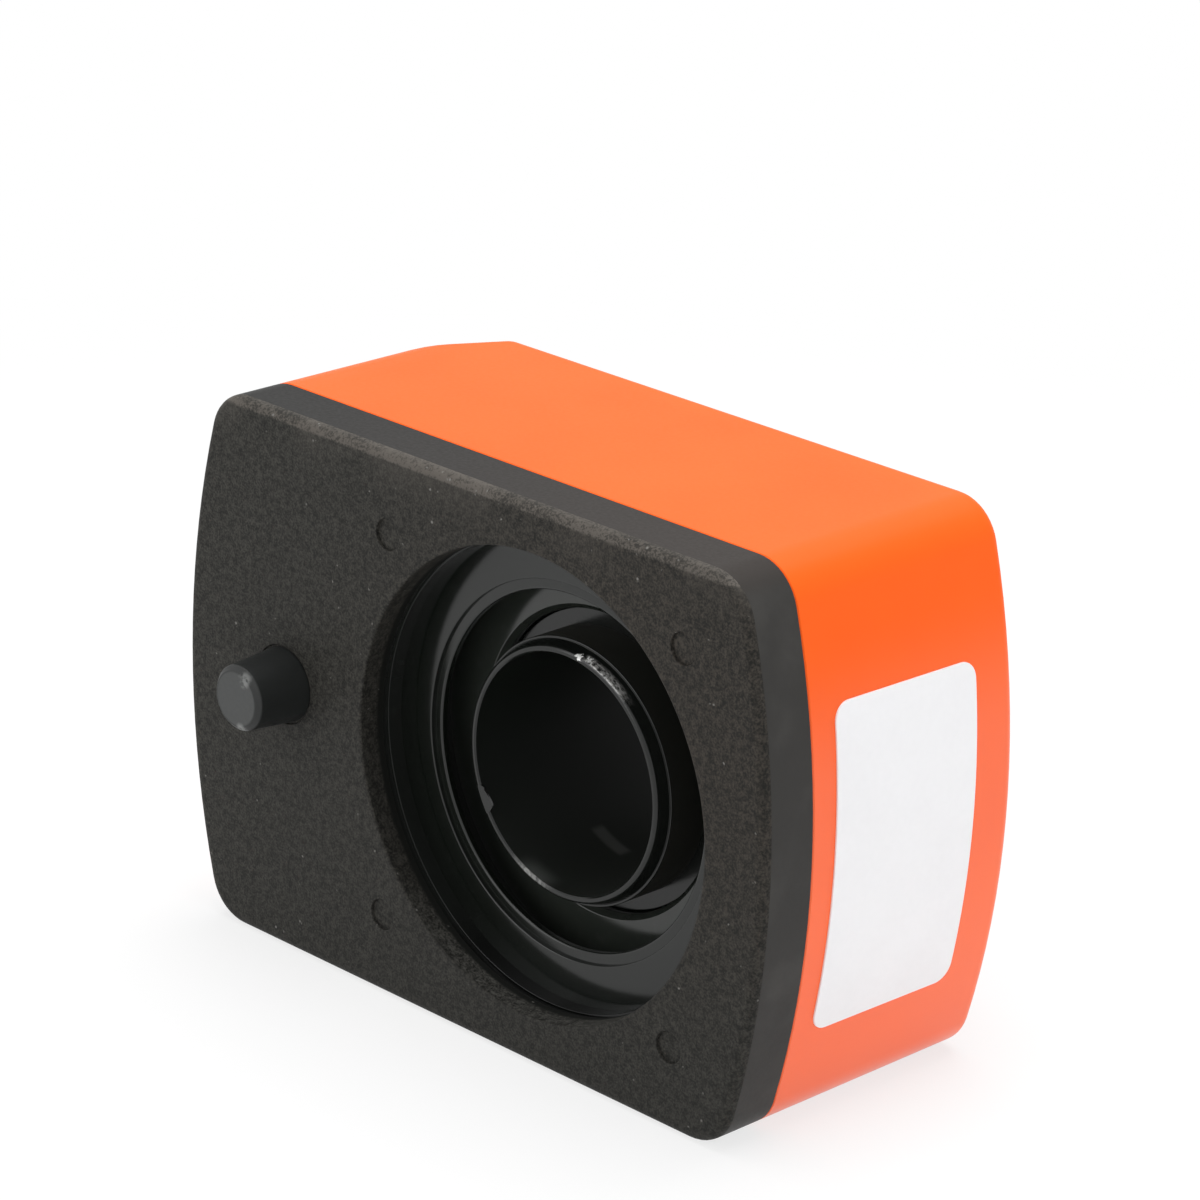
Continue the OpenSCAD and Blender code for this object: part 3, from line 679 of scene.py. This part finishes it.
def makePlate(materials):
    bm = bmesh.new()
    textured, plain, polished, dowel, dull = range(5)
    groove, parting = body["partingGroove"], body["parting"]
    rings = edgeRings() + [(0, parting - 2 * groove), (0, parting - groove), (groove, parting)]
    sides = [bodyRing(bm, inset, s) for inset, s in rings]
    edgeTurn = body["edgeSteps"] + 1
    loft(bm, sides[:edgeTurn + 1], textured)
    loft(bm, sides[edgeTurn:], plain)

    r, deep, floor, ledge = (recess[k] for k in ("radius", "wall", "floor", "ledgeRadius"))
    slope, web, shoulder, bush = (recess[k] for k in ("grooveSlope", "webRadius", "shoulder", "bushRadius"))
    grooveRadius, grooveEnd, dish = r + recess["groove"], deep + recess["grooveWidth"], r - recess["step"]
    # the floor bends down a little towards its ledge
    bends = [k / recess["rollSteps"] for k in range(recess["rollSteps"])]
    rolled = [(ledge + recess["rollWidth"] * (1 - k), floor + recess["roll"] * k * k, 0) for k in bends]
    chain = [
        (r + recess["border"], 0, 0), (r, 0, recess["mouth"]), (r - recess["draft"], deep, 0),
        (grooveRadius, deep + slope, 0), (grooveRadius, grooveEnd, 0), (dish, grooveEnd + slope, recess["stepEdge"]),
        (dish, floor, 0),
    ] + rolled + [
        (ledge, floor + recess["roll"], recess["lip"]), (ledge, recess["ledge"], 0),
        (web, recess["ledge"], recess["webLip"]), (web, parting, recess["webEdge"]), (shoulder, parting, 0),
        (shoulder, recess["bushDepth"], 0), (bush, recess["bushDepth"], 0), (bush, recess["bushEnd"], 0),
        (recess["bossRadius"], recess["bushEnd"], 0), (recess["bossRadius"], parting, 0),
    ]

    # textured down to the groove, dull from there to the floor, polished further in
    def wallSlot(a, b):
        if max(a[1], b[1]) < deep + hair:
            return textured
        return dull if min(a[0], b[0]) > dish - slope else polished

    hole = turned(bm, chain, steps=recess["edgeSteps"], slotAt=wallSlot)

    foot, tip, height = pinSize + pin["draft"], pinSize - pin["draft"], pin["height"]
    stem = [
        (foot + pin["groove"] + pin["border"], 0, 0), (foot + pin["groove"], 0, pin["foot"]),
        (foot + pin["grooveFoot"], pin["grooveDepth"], 0), (foot, pin["grooveDepth"], 0),
        (tip, pin["chamfer"] - height, pin["shoulder"]), (tip - pin["chamfer"], -height, pin["tipEdge"]),
        (tip - pin["tipFlat"], -height, 0),
    ]

    def pinSlot(a, b):
        onPin = min(a[1], b[1]) < -pin["foot"] or max(a[0], b[0]) < foot + hair
        return dowel if onPin else textured

    peg = turned(bm, stem, pinX / mm, 0, pin["sides"], slotAt=pinSlot)
    fillFlat(bm, [peg[-1]], dowel)

    size, dents = marks["radius"], []
    path = [
        (size + marks["border"], 0, 0), (size, 0, marks["edge"]),
        (size - marks["draft"], marks["depth"], 0), (size - marks["flat"], marks["depth"], 0),
    ]
    for x in (-marks["offset"], marks["offset"]):
        for z in (-marks["offset"], marks["offset"]):
            dent = turned(bm, path, x, z, marks["sides"], steps=marks["edgeSteps"])
            fillFlat(bm, [dent[-1]], textured)
            dents.append(dent[0])
    fillFlat(bm, [sides[0], hole[0], peg[0]] + dents, textured)

    wallIn, wallOut = rim["inset"] + rim["wall"], rim["inset"]
    top = parting + rim["height"]
    lip = [bodyRing(bm, *at) for at in ((wallOut, parting), (wallOut, top), (wallIn, top), (wallIn, parting))]
    loft(bm, lip, plain)
    fillFlat(bm, [sides[-1], lip[0]], plain)
    fillFlat(bm, [lip[-1], hole[-1]], plain)
    piece = newPiece("rearPlate", bm, materials)
    settle(piece, "root", "textured_black", "base_plate")
    print("rear plate:", len(piece.data.polygons), "faces")


window = {"height": 9.0, "width": 22.8, "corner": 0.5, "edge": 0.25, "edgeSteps": 4, "border": 0.12}
boss = {"bore": 15.5, "wall": 1.2, "start": 24.0, "edge": 0.25, "endEdge": 0.15, "border": 0.5}


# a point given up the slant, across it and outwards from it
def onSlant(up, z, outwards):
    c, s = math.cos(slant), math.sin(slant)
    return (displayEnd + up * c - outwards * s, slantFoot + up * s + outwards * c, z)


# rounded rectangle round the window's middle, grown by a margin
def windowLoop(margin, outwards, corner):
    u, z = window["height"] / 2 + margin, window["width"] / 2 + margin
    corners = [(-u, -z, corner), (u, -z, corner), (u, z, corner), (-u, z, corner)]
    middle = slantLength / 2
    return [onSlant(middle + a, b, outwards) for a, b in softened(corners)]


def makeHousing(materials):
    bm = bmesh.new()
    support, steps = body["support"], body["creaseSteps"]
    low, high = creaseX - creaseTrim * math.cos(slant), creaseX + creaseTrim
    bend = [low + (high - low) * k / steps for k in range(steps + 1)]
    stations = [low - support] + bend + [high + support]
    groove, parting = body["partingGroove"], body["parting"]

    def outer(inset, depthAt):
        return ring(bm, [(x, depthAt(x), z) for x, z in bodyOutline(inset, stations)])

    starts = ((groove, parting), (0, parting + groove), (0, parting + 2 * groove))
    sides = [outer(inset, lambda x, s=s: rear + s) for inset, s in starts]
    for inset, drop in reversed(edgeRings()):
        sides.append(outer(inset, lambda x, drop=drop: frontAt(x) - drop))
    loft(bm, sides)

    # the front: slanted face with its window, strips round the crease, flat face with the bush hole
    edgeLoop = sides[-1]
    outline = bodyOutline(body["edge"] + support, stations)
    topSide = [v for v, (x, z) in zip(edgeLoop, outline) if x in stations and z > 0]
    lowSide = [v for v, (x, z) in zip(edgeLoop, outline) if x in stations and z < 0][::-1]
    bridge(bm, topSide, lowSide, closed=False)
    at = edgeLoop.index
    slanted = edgeLoop[at(topSide[-1]):at(lowSide[-1]) + 1]
    flat = edgeLoop[at(lowSide[0]):] + edgeLoop[:at(topSide[0]) + 1]

    e, border = window["edge"], window["border"]
    frames = [ring(bm, windowLoop(e + border, 0, window["corner"] + e))]
    for inset, drop in quarterTurn(e, window["edgeSteps"]):
        frames.append(ring(bm, windowLoop(inset, -drop, window["corner"])))
    frames += [ring(bm, windowLoop(0, -d, window["corner"])) for d in (e + border, body["wall"])]
    loft(bm, frames)
    fillFlat(bm, [slanted, frames[0]])

    inside, outside, start, endEdge = boss["bore"], boss["bore"] + boss["wall"], boss["start"], boss["endEdge"]
    thick, depth = body["wall"], front - rear
    tube = turned(bm, [
        (inside + boss["border"], depth, 0), (inside, depth, boss["edge"]), (inside, start, endEdge),
        (outside, start, endEdge), (outside, depth - thick, 0),
    ])
    fillFlat(bm, [flat, tube[0]])

    # the cavity, with its own crease behind the slanted face
    back = thick / math.cos(slant)
    innerCrease = displayEnd + (depth - thick + back - body["slantStart"]) / math.tan(slant)

    def innerAt(x):
        return min(front - thick, slantFoot + (x - displayEnd) * math.tan(slant) - back)

    points = bodyOutline(thick, [innerCrease])
    foot = ring(bm, [(x, rear + parting, z) for x, z in points])
    roof = ring(bm, [(x, innerAt(x), z) for x, z in points])
    bridge(bm, foot, roof)
    ends = [k for k, (x, z) in enumerate(points) if x == innerCrease]
    fillFlat(bm, [roof[ends[0]:ends[1] + 1], frames[-1]])
    fillFlat(bm, [roof[ends[1]:] + roof[:ends[0] + 1], tube[-1]])
    fillFlat(bm, [sides[0], foot])
    piece = newPiece("orangeHousing", bm, materials)
    settle(piece, "root", "orange_housing", "housing")
    print("housing:", len(piece.data.polygons), "faces")


# the screw hole's middle and length are shares of the bore's radius
shaft = {
    "end": 3.9, "tip": 10.5, "tipRound": 0.35, "taperEnd": 5.0, "neck": 10.9, "neckEdge": 0.03,
    "tail": 11.1, "tailEdge": 0.08, "tailEnd": 9.0, "dullFrom": 0.1, "journal": 12.5, "journalEdge": 0.1,
    "ringPlay": 0.1, "ringDepth": 0.5, "hubEnd": 23.8, "frontJournal": 13.2, "collarStart": 28.7, "collar": 15.9,
    "collarEdge": 0.5, "front": 37.2, "chamfer": 0.3, "chamferEdge": 0.08, "rearChamfer": 0.12, "rearEdge": 0.04,
    "screwRadius": 2.5, "screwDepth": 32.95, "screwMiddle": 1.3, "screwLength": 1.6, "screwSides": 48,
}


# cut another mesh out of a piece and leave a plain mesh
def carve(piece, cutter):
    modifier = piece.modifiers.new("carve", "BOOLEAN")
    modifier.operation, modifier.solver, modifier.object = "DIFFERENCE", "EXACT", cutter
    mesh = evaluatedMesh(piece)
    piece.modifiers.remove(modifier)
    bm = bmesh.new()
    bm.from_mesh(mesh)
    bmesh.ops.remove_doubles(bm, verts=bm.verts, dist=hair * mm)
    bmesh.ops.dissolve_degenerate(bm, edges=bm.edges, dist=hair * mm)
    bm.to_mesh(mesh)
    bm.free()
    piece.data = mesh
    bpy.data.objects.remove(cutter)


def makeShaft(materials):
    bm = bmesh.new()
    inside = boreSize
    c, small, end, top = (shaft[k] for k in ("chamfer", "rearChamfer", "end", "front"))
    journal, tail, taperEnd, tailEnd = (shaft[k] for k in ("journal", "tail", "taperEnd", "tailEnd"))
    ringLow, ringTop = (corner.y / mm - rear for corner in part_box("retaining_ring"))
    ringStart, ringFloor = ringLow - shaft["ringPlay"], journal - shaft["ringDepth"]
    lathe = [
        (inside + small, end, shaft["rearEdge"]), (shaft["tip"], end, shaft["tipRound"]),
        (shaft["neck"], taperEnd, shaft["neckEdge"]), (tail, taperEnd, shaft["tailEdge"]), (tail, tailEnd, 0),
        (journal, tailEnd, shaft["journalEdge"]), (journal, ringStart, 0), (ringFloor, ringStart, 0),
        (ringFloor, ringTop, 0), (journal, ringTop, 0), (journal, shaft["hubEnd"], 0),
        (shaft["frontJournal"], shaft["hubEnd"], 0), (shaft["frontJournal"], shaft["collarStart"], 0),
        (shaft["collar"], shaft["collarStart"], shaft["collarEdge"]), (shaft["collar"], top, shaft["collarEdge"]),
        (inside + c, top, shaft["chamferEdge"]), (inside, top - c, shaft["chamferEdge"]),
        (inside, end + small, shaft["rearEdge"]),
    ]

    # the bore and the tail behind the rim are dull
    def finishOf(a, b):
        r, s = max(a[0], b[0]), max(a[1], b[1])
        onTail = taperEnd + shaft["dullFrom"] < s <= tailEnd and shaft["neck"] < r <= tail + hair
        return int(onTail or r < inside + hair)

    turned(bm, lathe, closed=True, slotAt=finishOf)
    piece = newPiece("hollowShaft", bm, materials)
    cutBm = bmesh.new()
    bmesh.ops.create_cone(
        cutBm, cap_ends=True, segments=shaft["screwSides"], depth=shaft["screwLength"] * inside,
        radius1=shaft["screwRadius"], radius2=shaft["screwRadius"],
        matrix=Matrix.Translation((0, rear + shaft["screwDepth"], shaft["screwMiddle"] * inside)),
    )
    carve(piece, newPiece("screwHole", cutBm, []))
    piece.data.set_sharp_from_angle(angle=sharpAngle)
    settle(piece, "shaft", "black_steel", "hollow_shaft")
    print("shaft:", len(piece.data.polygons), "faces")


bushes = {"run": 12.55, "lead": 0.45, "edge": 0.1, "frontRun": 13.25, "frontEdge": 0.2, "frontLead": 0.3}


def makeBushes(materials):
    bm = bmesh.new()
    run, lead, edge, frontRun, frontEdge, frontLead = bushes.values()
    start, end, out = recess["bushDepth"], recess["bushEnd"], recess["bushRadius"]
    turned(bm, [
        (run, start + lead, edge), (run + lead, start, edge), (out, start, 0), (out, end, 0), (run, end, edge),
    ], closed=True)
    settle(newPiece("rearBush", bm, materials), "root", "smooth_black", "rear_bush")
    bm = bmesh.new()
    depth = front - rear
    turned(bm, [
        (frontRun, boss["start"], frontEdge), (frontRun, depth, frontLead),
        (boss["bore"], depth, frontEdge), (boss["bore"], boss["start"], frontEdge),
    ], closed=True)
    settle(newPiece("frontBush", bm, materials), "root", "smooth_black", "front_bush")
    print("bushes made")


label = {
    "width": 15.9, "height": 27.2, "depth": 15.75, "rise": -1.25, "turn": 1.0, "corner": 1.5, "cornerSteps": 8,
    "lift": 0.15, "edge": 0.03, "narrowest": 0.02, "rows": 24,
}


# a thin bare sheet on the bowed end
def makeLabel(materials):
    bm = bmesh.new()
    w, h, corner, lift, edge = label["width"] / 2, label["height"] / 2, label["corner"], label["lift"], label["edge"]
    turn = Matrix.Rotation(math.radians(-label["turn"]), 2)
    centreX = labelEnd - endRadius

    def wrapped(u, v, lift):
        u, v = turn @ Vector((u, v))
        z = v + label["rise"]
        return (centreX + math.sqrt((endRadius + lift) ** 2 - z * z), rear + label["depth"] + u, z)

    # rows up the bow, each as wide as the rounded sheet is there
    steps, turns = label["rows"], label["cornerSteps"]
    rise = [-h + corner * (1 - math.cos(math.pi / 2 * k / turns)) for k in range(turns + 1)]
    rows = rise + [(h - corner) * (2 * k / steps - 1) for k in range(1, steps)] + [-v for v in reversed(rise)]
    sheet = []
    for v in rows:
        over = max(0.0, abs(v) - h + corner)
        side = max(label["narrowest"], w - corner + math.sqrt(corner ** 2 - over ** 2))
        section = [(-side, 0), (-side, lift - edge), (edge - side, lift)]
        section += [(-u, up) for u, up in reversed(section)]
        sheet.append(ring(bm, [wrapped(u, v, up) for u, up in section]))
    loft(bm, sheet, capped=True)
    settle(newPiece("endLabel", bm, materials), "root", "white_label", "end_label")
    print("label made")


lens = {"clear": 0.05, "flange": 0.8, "lip": 1.0, "edge": 0.2, "bevel": 0.06}


# clear window: a block in the slanted face with a flange behind it
def makeLens(materials):
    bm = bmesh.new()
    gap, flange, lip, edge, bevel = lens.values()
    cut, wall = gap + bevel, body["wall"]
    rows = [
        (-gap - edge, -gap), (-cut, -cut), (-gap, -gap - edge), (-gap, -wall), (lip, -wall), (lip, -wall - flange),
    ]
    loft(bm, [ring(bm, windowLoop(margin, out, window["corner"])) for margin, out in rows], capped=True)
    settle(newPiece("clearWindow", bm, materials), "root", "clear_lens", "window_lens")
    print("window made")


digit = {
    "drum": 6.0, "pitch": 4.8, "wheels": 5, "bandWidth": 3.0, "bandSides": 120, "height": 2.9, "weight": 0.035,
    "proud": 0.03, "band": 0.02, "slice": 0.35, "turn": 36,
}


# one numeral as a mesh, bent round the drum at angle zero: up runs round it, right is -Z
def digitMesh(number, radius):
    curve = bpy.data.curves.new("numeral", "FONT")
    curve.body, curve.align_x, curve.align_y, curve.offset = str(number), "CENTER", "CENTER", digit["weight"]
    holder = newObject("numeral", curve)
    mesh = evaluatedMesh(holder)
    bpy.data.objects.remove(holder)
    bm = bmesh.new()
    bm.from_mesh(mesh)
    xs, ys = [v.co.x for v in bm.verts], [v.co.y for v in bm.verts]
    middle = Vector(((min(xs) + max(xs)) / 2, (min(ys) + max(ys)) / 2, 0))
    tall = digit["height"] / (max(ys) - min(ys))
    for v in bm.verts:
        v.co = (v.co - middle) * tall
    height = -digit["height"] / 2
    while height < digit["height"] / 2:
        everything = bm.verts[:] + bm.edges[:] + bm.faces[:]
        bmesh.ops.bisect_plane(bm, geom=everything, plane_co=(0, height, 0), plane_no=(0, 1, 0))
        height += digit["slice"]
    bmesh.ops.triangulate(bm, faces=bm.faces)
    for v in bm.verts:
        a = v.co.y / radius
        v.co = Vector((radius * math.cos(a), radius * math.sin(a), -v.co.x)) * mm
    bm.to_mesh(mesh)
    bm.free()
    return mesh


# Geometry Nodes: a smooth band on the drum and ten numerals round it
def digitTree(bandMaterial, inkMaterial):
    tree = bpy.data.node_groups.new("digitWheelPrint", "GeometryNodeTree")
    face = tree.interface
    face.new_socket("Geometry", in_out="OUTPUT", socket_type="NodeSocketGeometry")
    kinds = {
        "Numerals": "Collection", "Band radius": "Float", "Band width": "Float", "Centre": "Vector",
        "First angle": "Float", "Pitch angle": "Float",
    }
    for name, kind in kinds.items():
        face.new_socket(name, in_out="INPUT", socket_type="NodeSocket" + kind)

    def node(kind, sockets=None, settings=None, family="GeometryNode"):
        return newNode(tree, family + kind, sockets, settings)

    given = node("Input", family="NodeGroup").outputs
    drum = node("MeshCylinder", {
        "Vertices": digit["bandSides"], "Radius": given["Band radius"], "Depth": given["Band width"],
    }, {"fill_type": "NONE"})
    band = node("SetMaterial", {"Geometry": drum.outputs["Mesh"], "Material": bandMaterial})
    numerals = node("CollectionInfo", {
        "Collection": given["Numerals"], "Separate Children": True, "Reset Children": True,
    })
    points = node("MeshLine", {"Count": 10, "Offset": (0, 0, 0)})
    index = node("InputIndex").outputs[0]
    turnBack = node("Math", {0: index, 1: given["Pitch angle"]}, {"operation": "MULTIPLY"}, "ShaderNode")
    angle = node("Math", {0: given["First angle"], 1: turnBack.outputs[0]}, {"operation": "SUBTRACT"}, "ShaderNode")
    spin = node("CombineXYZ", {"Z": angle.outputs[0]}, family="ShaderNode")
    copies = node("InstanceOnPoints", {
        "Points": points.outputs["Mesh"], "Instance": numerals.outputs[0], "Pick Instance": True,
        "Instance Index": index, "Rotation": spin.outputs[0],
    })
    solid = node("RealizeInstances", {"Geometry": copies.outputs[0]})
    ink = node("SetMaterial", {"Geometry": solid.outputs[0], "Material": inkMaterial})
    joined = node("JoinGeometry")
    for part in (ink, band):
        tree.links.new(part.outputs[0], joined.inputs[0])
    moved = node("Transform", {"Geometry": joined.outputs[0], "Translation": given["Centre"]})
    tree.links.new(moved.outputs[0], node("Output", family="NodeGroup").inputs[0])
    return tree


def makeDigits(bandMaterial, inkMaterial):
    radius = digit["drum"]
    numerals = bpy.data.collections.new("numerals")
    for number in range(10):
        mesh = digitMesh(number, radius + digit["proud"])
        numerals.objects.link(bpy.data.objects.new("numeral%d" % number, mesh))
    tree = digitTree(bandMaterial, inkMaterial)
    sockets = {item.name: item.identifier for item in tree.interface.items_tree if item.in_out == "INPUT"}
    for k in range(1, digit["wheels"] + 1):
        x, y, _ = joints["wheel_%d_spin" % k]["pos_m"]
        z = (k - (digit["wheels"] + 1) / 2) * digit["pitch"] * mm
        holder = newObject("holder", bpy.data.meshes.new("holder"))
        modifier = holder.modifiers.new("print", "NODES")
        modifier.node_group = tree
        values = {
            "Numerals": numerals, "Band radius": (radius + digit["band"]) * mm, "Band width": digit["bandWidth"] * mm,
            "Centre": (x, y, z), "First angle": math.pi / 2 + slant, "Pitch angle": math.radians(digit["turn"]),
        }
        for name, value in values.items():
            modifier[sockets[name]] = value
        mesh = evaluatedMesh(holder)
        holder.modifiers.remove(modifier)
        bpy.data.objects.remove(holder)
        mesh.shade_smooth()
        piece = newObject("digitBand%d" % k, mesh)
        settle(piece, "wheel_%d" % k, "wheel_black")
    for item in list(numerals.objects):
        bpy.data.objects.remove(item)
    bpy.data.collections.remove(numerals)
    print("digit bands made")


# angles are in degrees
nib = {
    "from": 202.2, "to": 215.2, "depth": 0.2, "root": 0.35, "proud": 0.02, "draw": 0.9, "heel": 0.2, "heelDepth": 0.3,
    "inward": (0.05, 0.34, 0.3, 0.42, 0.5, 0.56, 0.62, 0.66, 0.66, 0.56, 0.08),
}


# flash left on the rim of the bore
def makeNib(materials):
    bm = bmesh.new()
    inside, end = boreSize, rear + shaft["end"]
    back = end + nib["depth"]
    rows, steps = [], len(nib["inward"]) - 1
    for k, reach in enumerate(nib["inward"]):
        a = math.radians(nib["from"] + (nib["to"] - nib["from"]) * k / steps)
        c, s = math.cos(a), math.sin(a)
        section = [
            (inside + nib["root"], end - nib["proud"]), (inside - reach, end),
            (inside - reach * nib["draw"], back), (inside + nib["heel"], back + nib["heelDepth"]),
        ]
        rows.append(ring(bm, [(r * c, y, r * s) for r, y in section]))
    loft(bm, rows, capped=True)
    settle(newPiece("rimNib", bm, materials), "shaft", "black_steel")


view = {
    "azimuth": 44.911, "elevation": 20.381, "roll": 1.75, "distance": 381.686, "target": (-7.39, 10.8, 9.983),
    "lens": 141.83, "sensor": 36, "clip": 0.01,
}


def makeCamera():
    az, el, roll = (math.radians(view[k]) for k in ("azimuth", "elevation", "roll"))
    back = Vector((math.sin(az) * math.cos(el), -math.cos(az) * math.cos(el), math.sin(el)))
    right = (-back).cross(Vector((0, 0, 1))).normalized()
    up = right.cross(-back)
    across = math.cos(roll) * right + math.sin(roll) * up
    above = math.cos(roll) * up - math.sin(roll) * right
    data = bpy.data.cameras.new("camera")
    data.lens, data.sensor_width, data.clip_start = view["lens"], view["sensor"], view["clip"]
    camera = newObject("camera", data)
    turn = Matrix((across, above, back)).transposed().to_4x4()
    camera.matrix_world = Matrix.Translation((Vector(view["target"]) + back * view["distance"]) * mm) @ turn
    bpy.context.scene.camera = camera


lamps = {
    "top": {"place": (-0.05, 0.12, 0.62), "size": 0.55, "power": 4.4},
    "right": {"place": (0.6, -0.05, 0.22), "size": 0.5, "power": 0.7},
    "rear": {"place": (-0.25, -0.6, 0.3), "size": 0.6, "power": 1.7},
}
stage = {
    "size": 3.0, "floor": (0.86, 0.86, 0.86, 1), "specular": 0.0, "worldFill": 0.5, "fade": (0.07, 0.2),
    "glow": 0.75, "gap": 0.03,
}
white = (1, 1, 1, 1)


def makeLights():
    for name, lamp in lamps.items():
        data = bpy.data.lights.new(name, "AREA")
        data.shape, data.size, data.energy = "SQUARE", lamp["size"], lamp["power"]
        lampObject = newObject(name, data)
        lampObject.location = lamp["place"]
        lampObject.rotation_euler = (-Vector(lamp["place"])).to_track_quat("-Z", "Y").to_euler()


# 1 for rays that see the background: from the camera, a reflection or clear plastic
def sightRays(wire):
    seen = [wire.node("LightPath", out=name) for name in ("Is Camera Ray", "Is Glossy Ray", "Is Transmission Ray")]
    both = seen[0].maths("MAXIMUM", seen[0], seen[1])
    return both.maths("MAXIMUM", both, seen[2])


def makeWorld():
    world = bpy.data.worlds.new("studio")
    bpy.context.scene.world = world
    world.use_nodes = True
    tree = world.node_tree
    background = tree.nodes["Background"]
    background.inputs["Color"].default_value = white
    strength = stage["worldFill"] + (1 - stage["worldFill"]) * sightRays(Wire(tree))
    tree.links.new(strength.socket, background.inputs["Strength"])


# pale floor: it keeps the shadow near the object and is plain white further out
def makeFloor():
    bm = bmesh.new()
    bmesh.ops.create_grid(bm, x_segments=2, y_segments=2, size=stage["size"] / 2 / mm)
    bmesh.ops.translate(bm, verts=bm.verts, vec=(0, 0, cadBox[0].z / mm - stage["gap"]))
    material, place = newMaterial("paleFloor", stage, Base_Color=stage["floor"], Roughness=1.0)
    tree = material.node_tree
    far = place.away((0, 0, cadBox[0].z)).step("fade")
    plain = place.node("Emission", {"Color": white, "Strength": 1.0})
    bright = (stage["glow"] + (1 - stage["glow"]) * far) * sightRays(place)
    mixed = place.node("MixShader", {0: bright, 1: tree.nodes["Principled BSDF"].outputs[0], 2: plain})
    tree.links.new(mixed.socket, tree.nodes["Material Output"].inputs["Surface"])
    newPiece("floor", bm, [material])


boreEnd, boreRadius = (rear + shaft["end"]) * mm, boreSize * mm
finishes = {
    "orange_housing": orangePlastic(), "smooth_black": glossBlack("bush"), "bright_steel": brightSteel(),
    "gear_plastic": counterFinish("ivoryPlastic"), "wheel_black": counterFinish("wheelBlack"),
    "white_label": labelFilm(), "clear_lens": clearPlastic(), "black_steel": blackSteel(boreEnd, boreRadius),
}
pinTip, tipRadius = (rear - pin["height"]) * mm, (pinSize - pin["draft"]) * mm
makePlate([
    sparkBlack(rear * mm), smoothBlack(), glossBlack("recess"), pinBlack(pinTip, tipRadius), glossBlack("wall"),
])
makeHousing([finishes["orange_housing"]])
makeShaft([finishes["black_steel"], boreBlack(boreEnd, boreRadius)])
makeBushes([finishes["smooth_black"]])
makeLabel([finishes["white_label"]])
makeLens([finishes["clear_lens"]])
makeDigits(finishes["wheel_black"], counterFinish("digitInk"))
makeNib([finishes["black_steel"]])

# CAD nodes that stay take the finish of their slot
for subpart in frame["record"]["subparts"]:
    item = nodes[subpart["node"]]
    finish = finishes.get(subpart["material_slot"])
    if finish and not item.hide_render:
        for slot in item.material_slots:
            slot.material = finish
print("finishes set")

makeCamera()
makeLights()
makeWorld()
makeFloor()
bpy.context.scene.view_settings.view_transform = "Standard"
print("stage made")
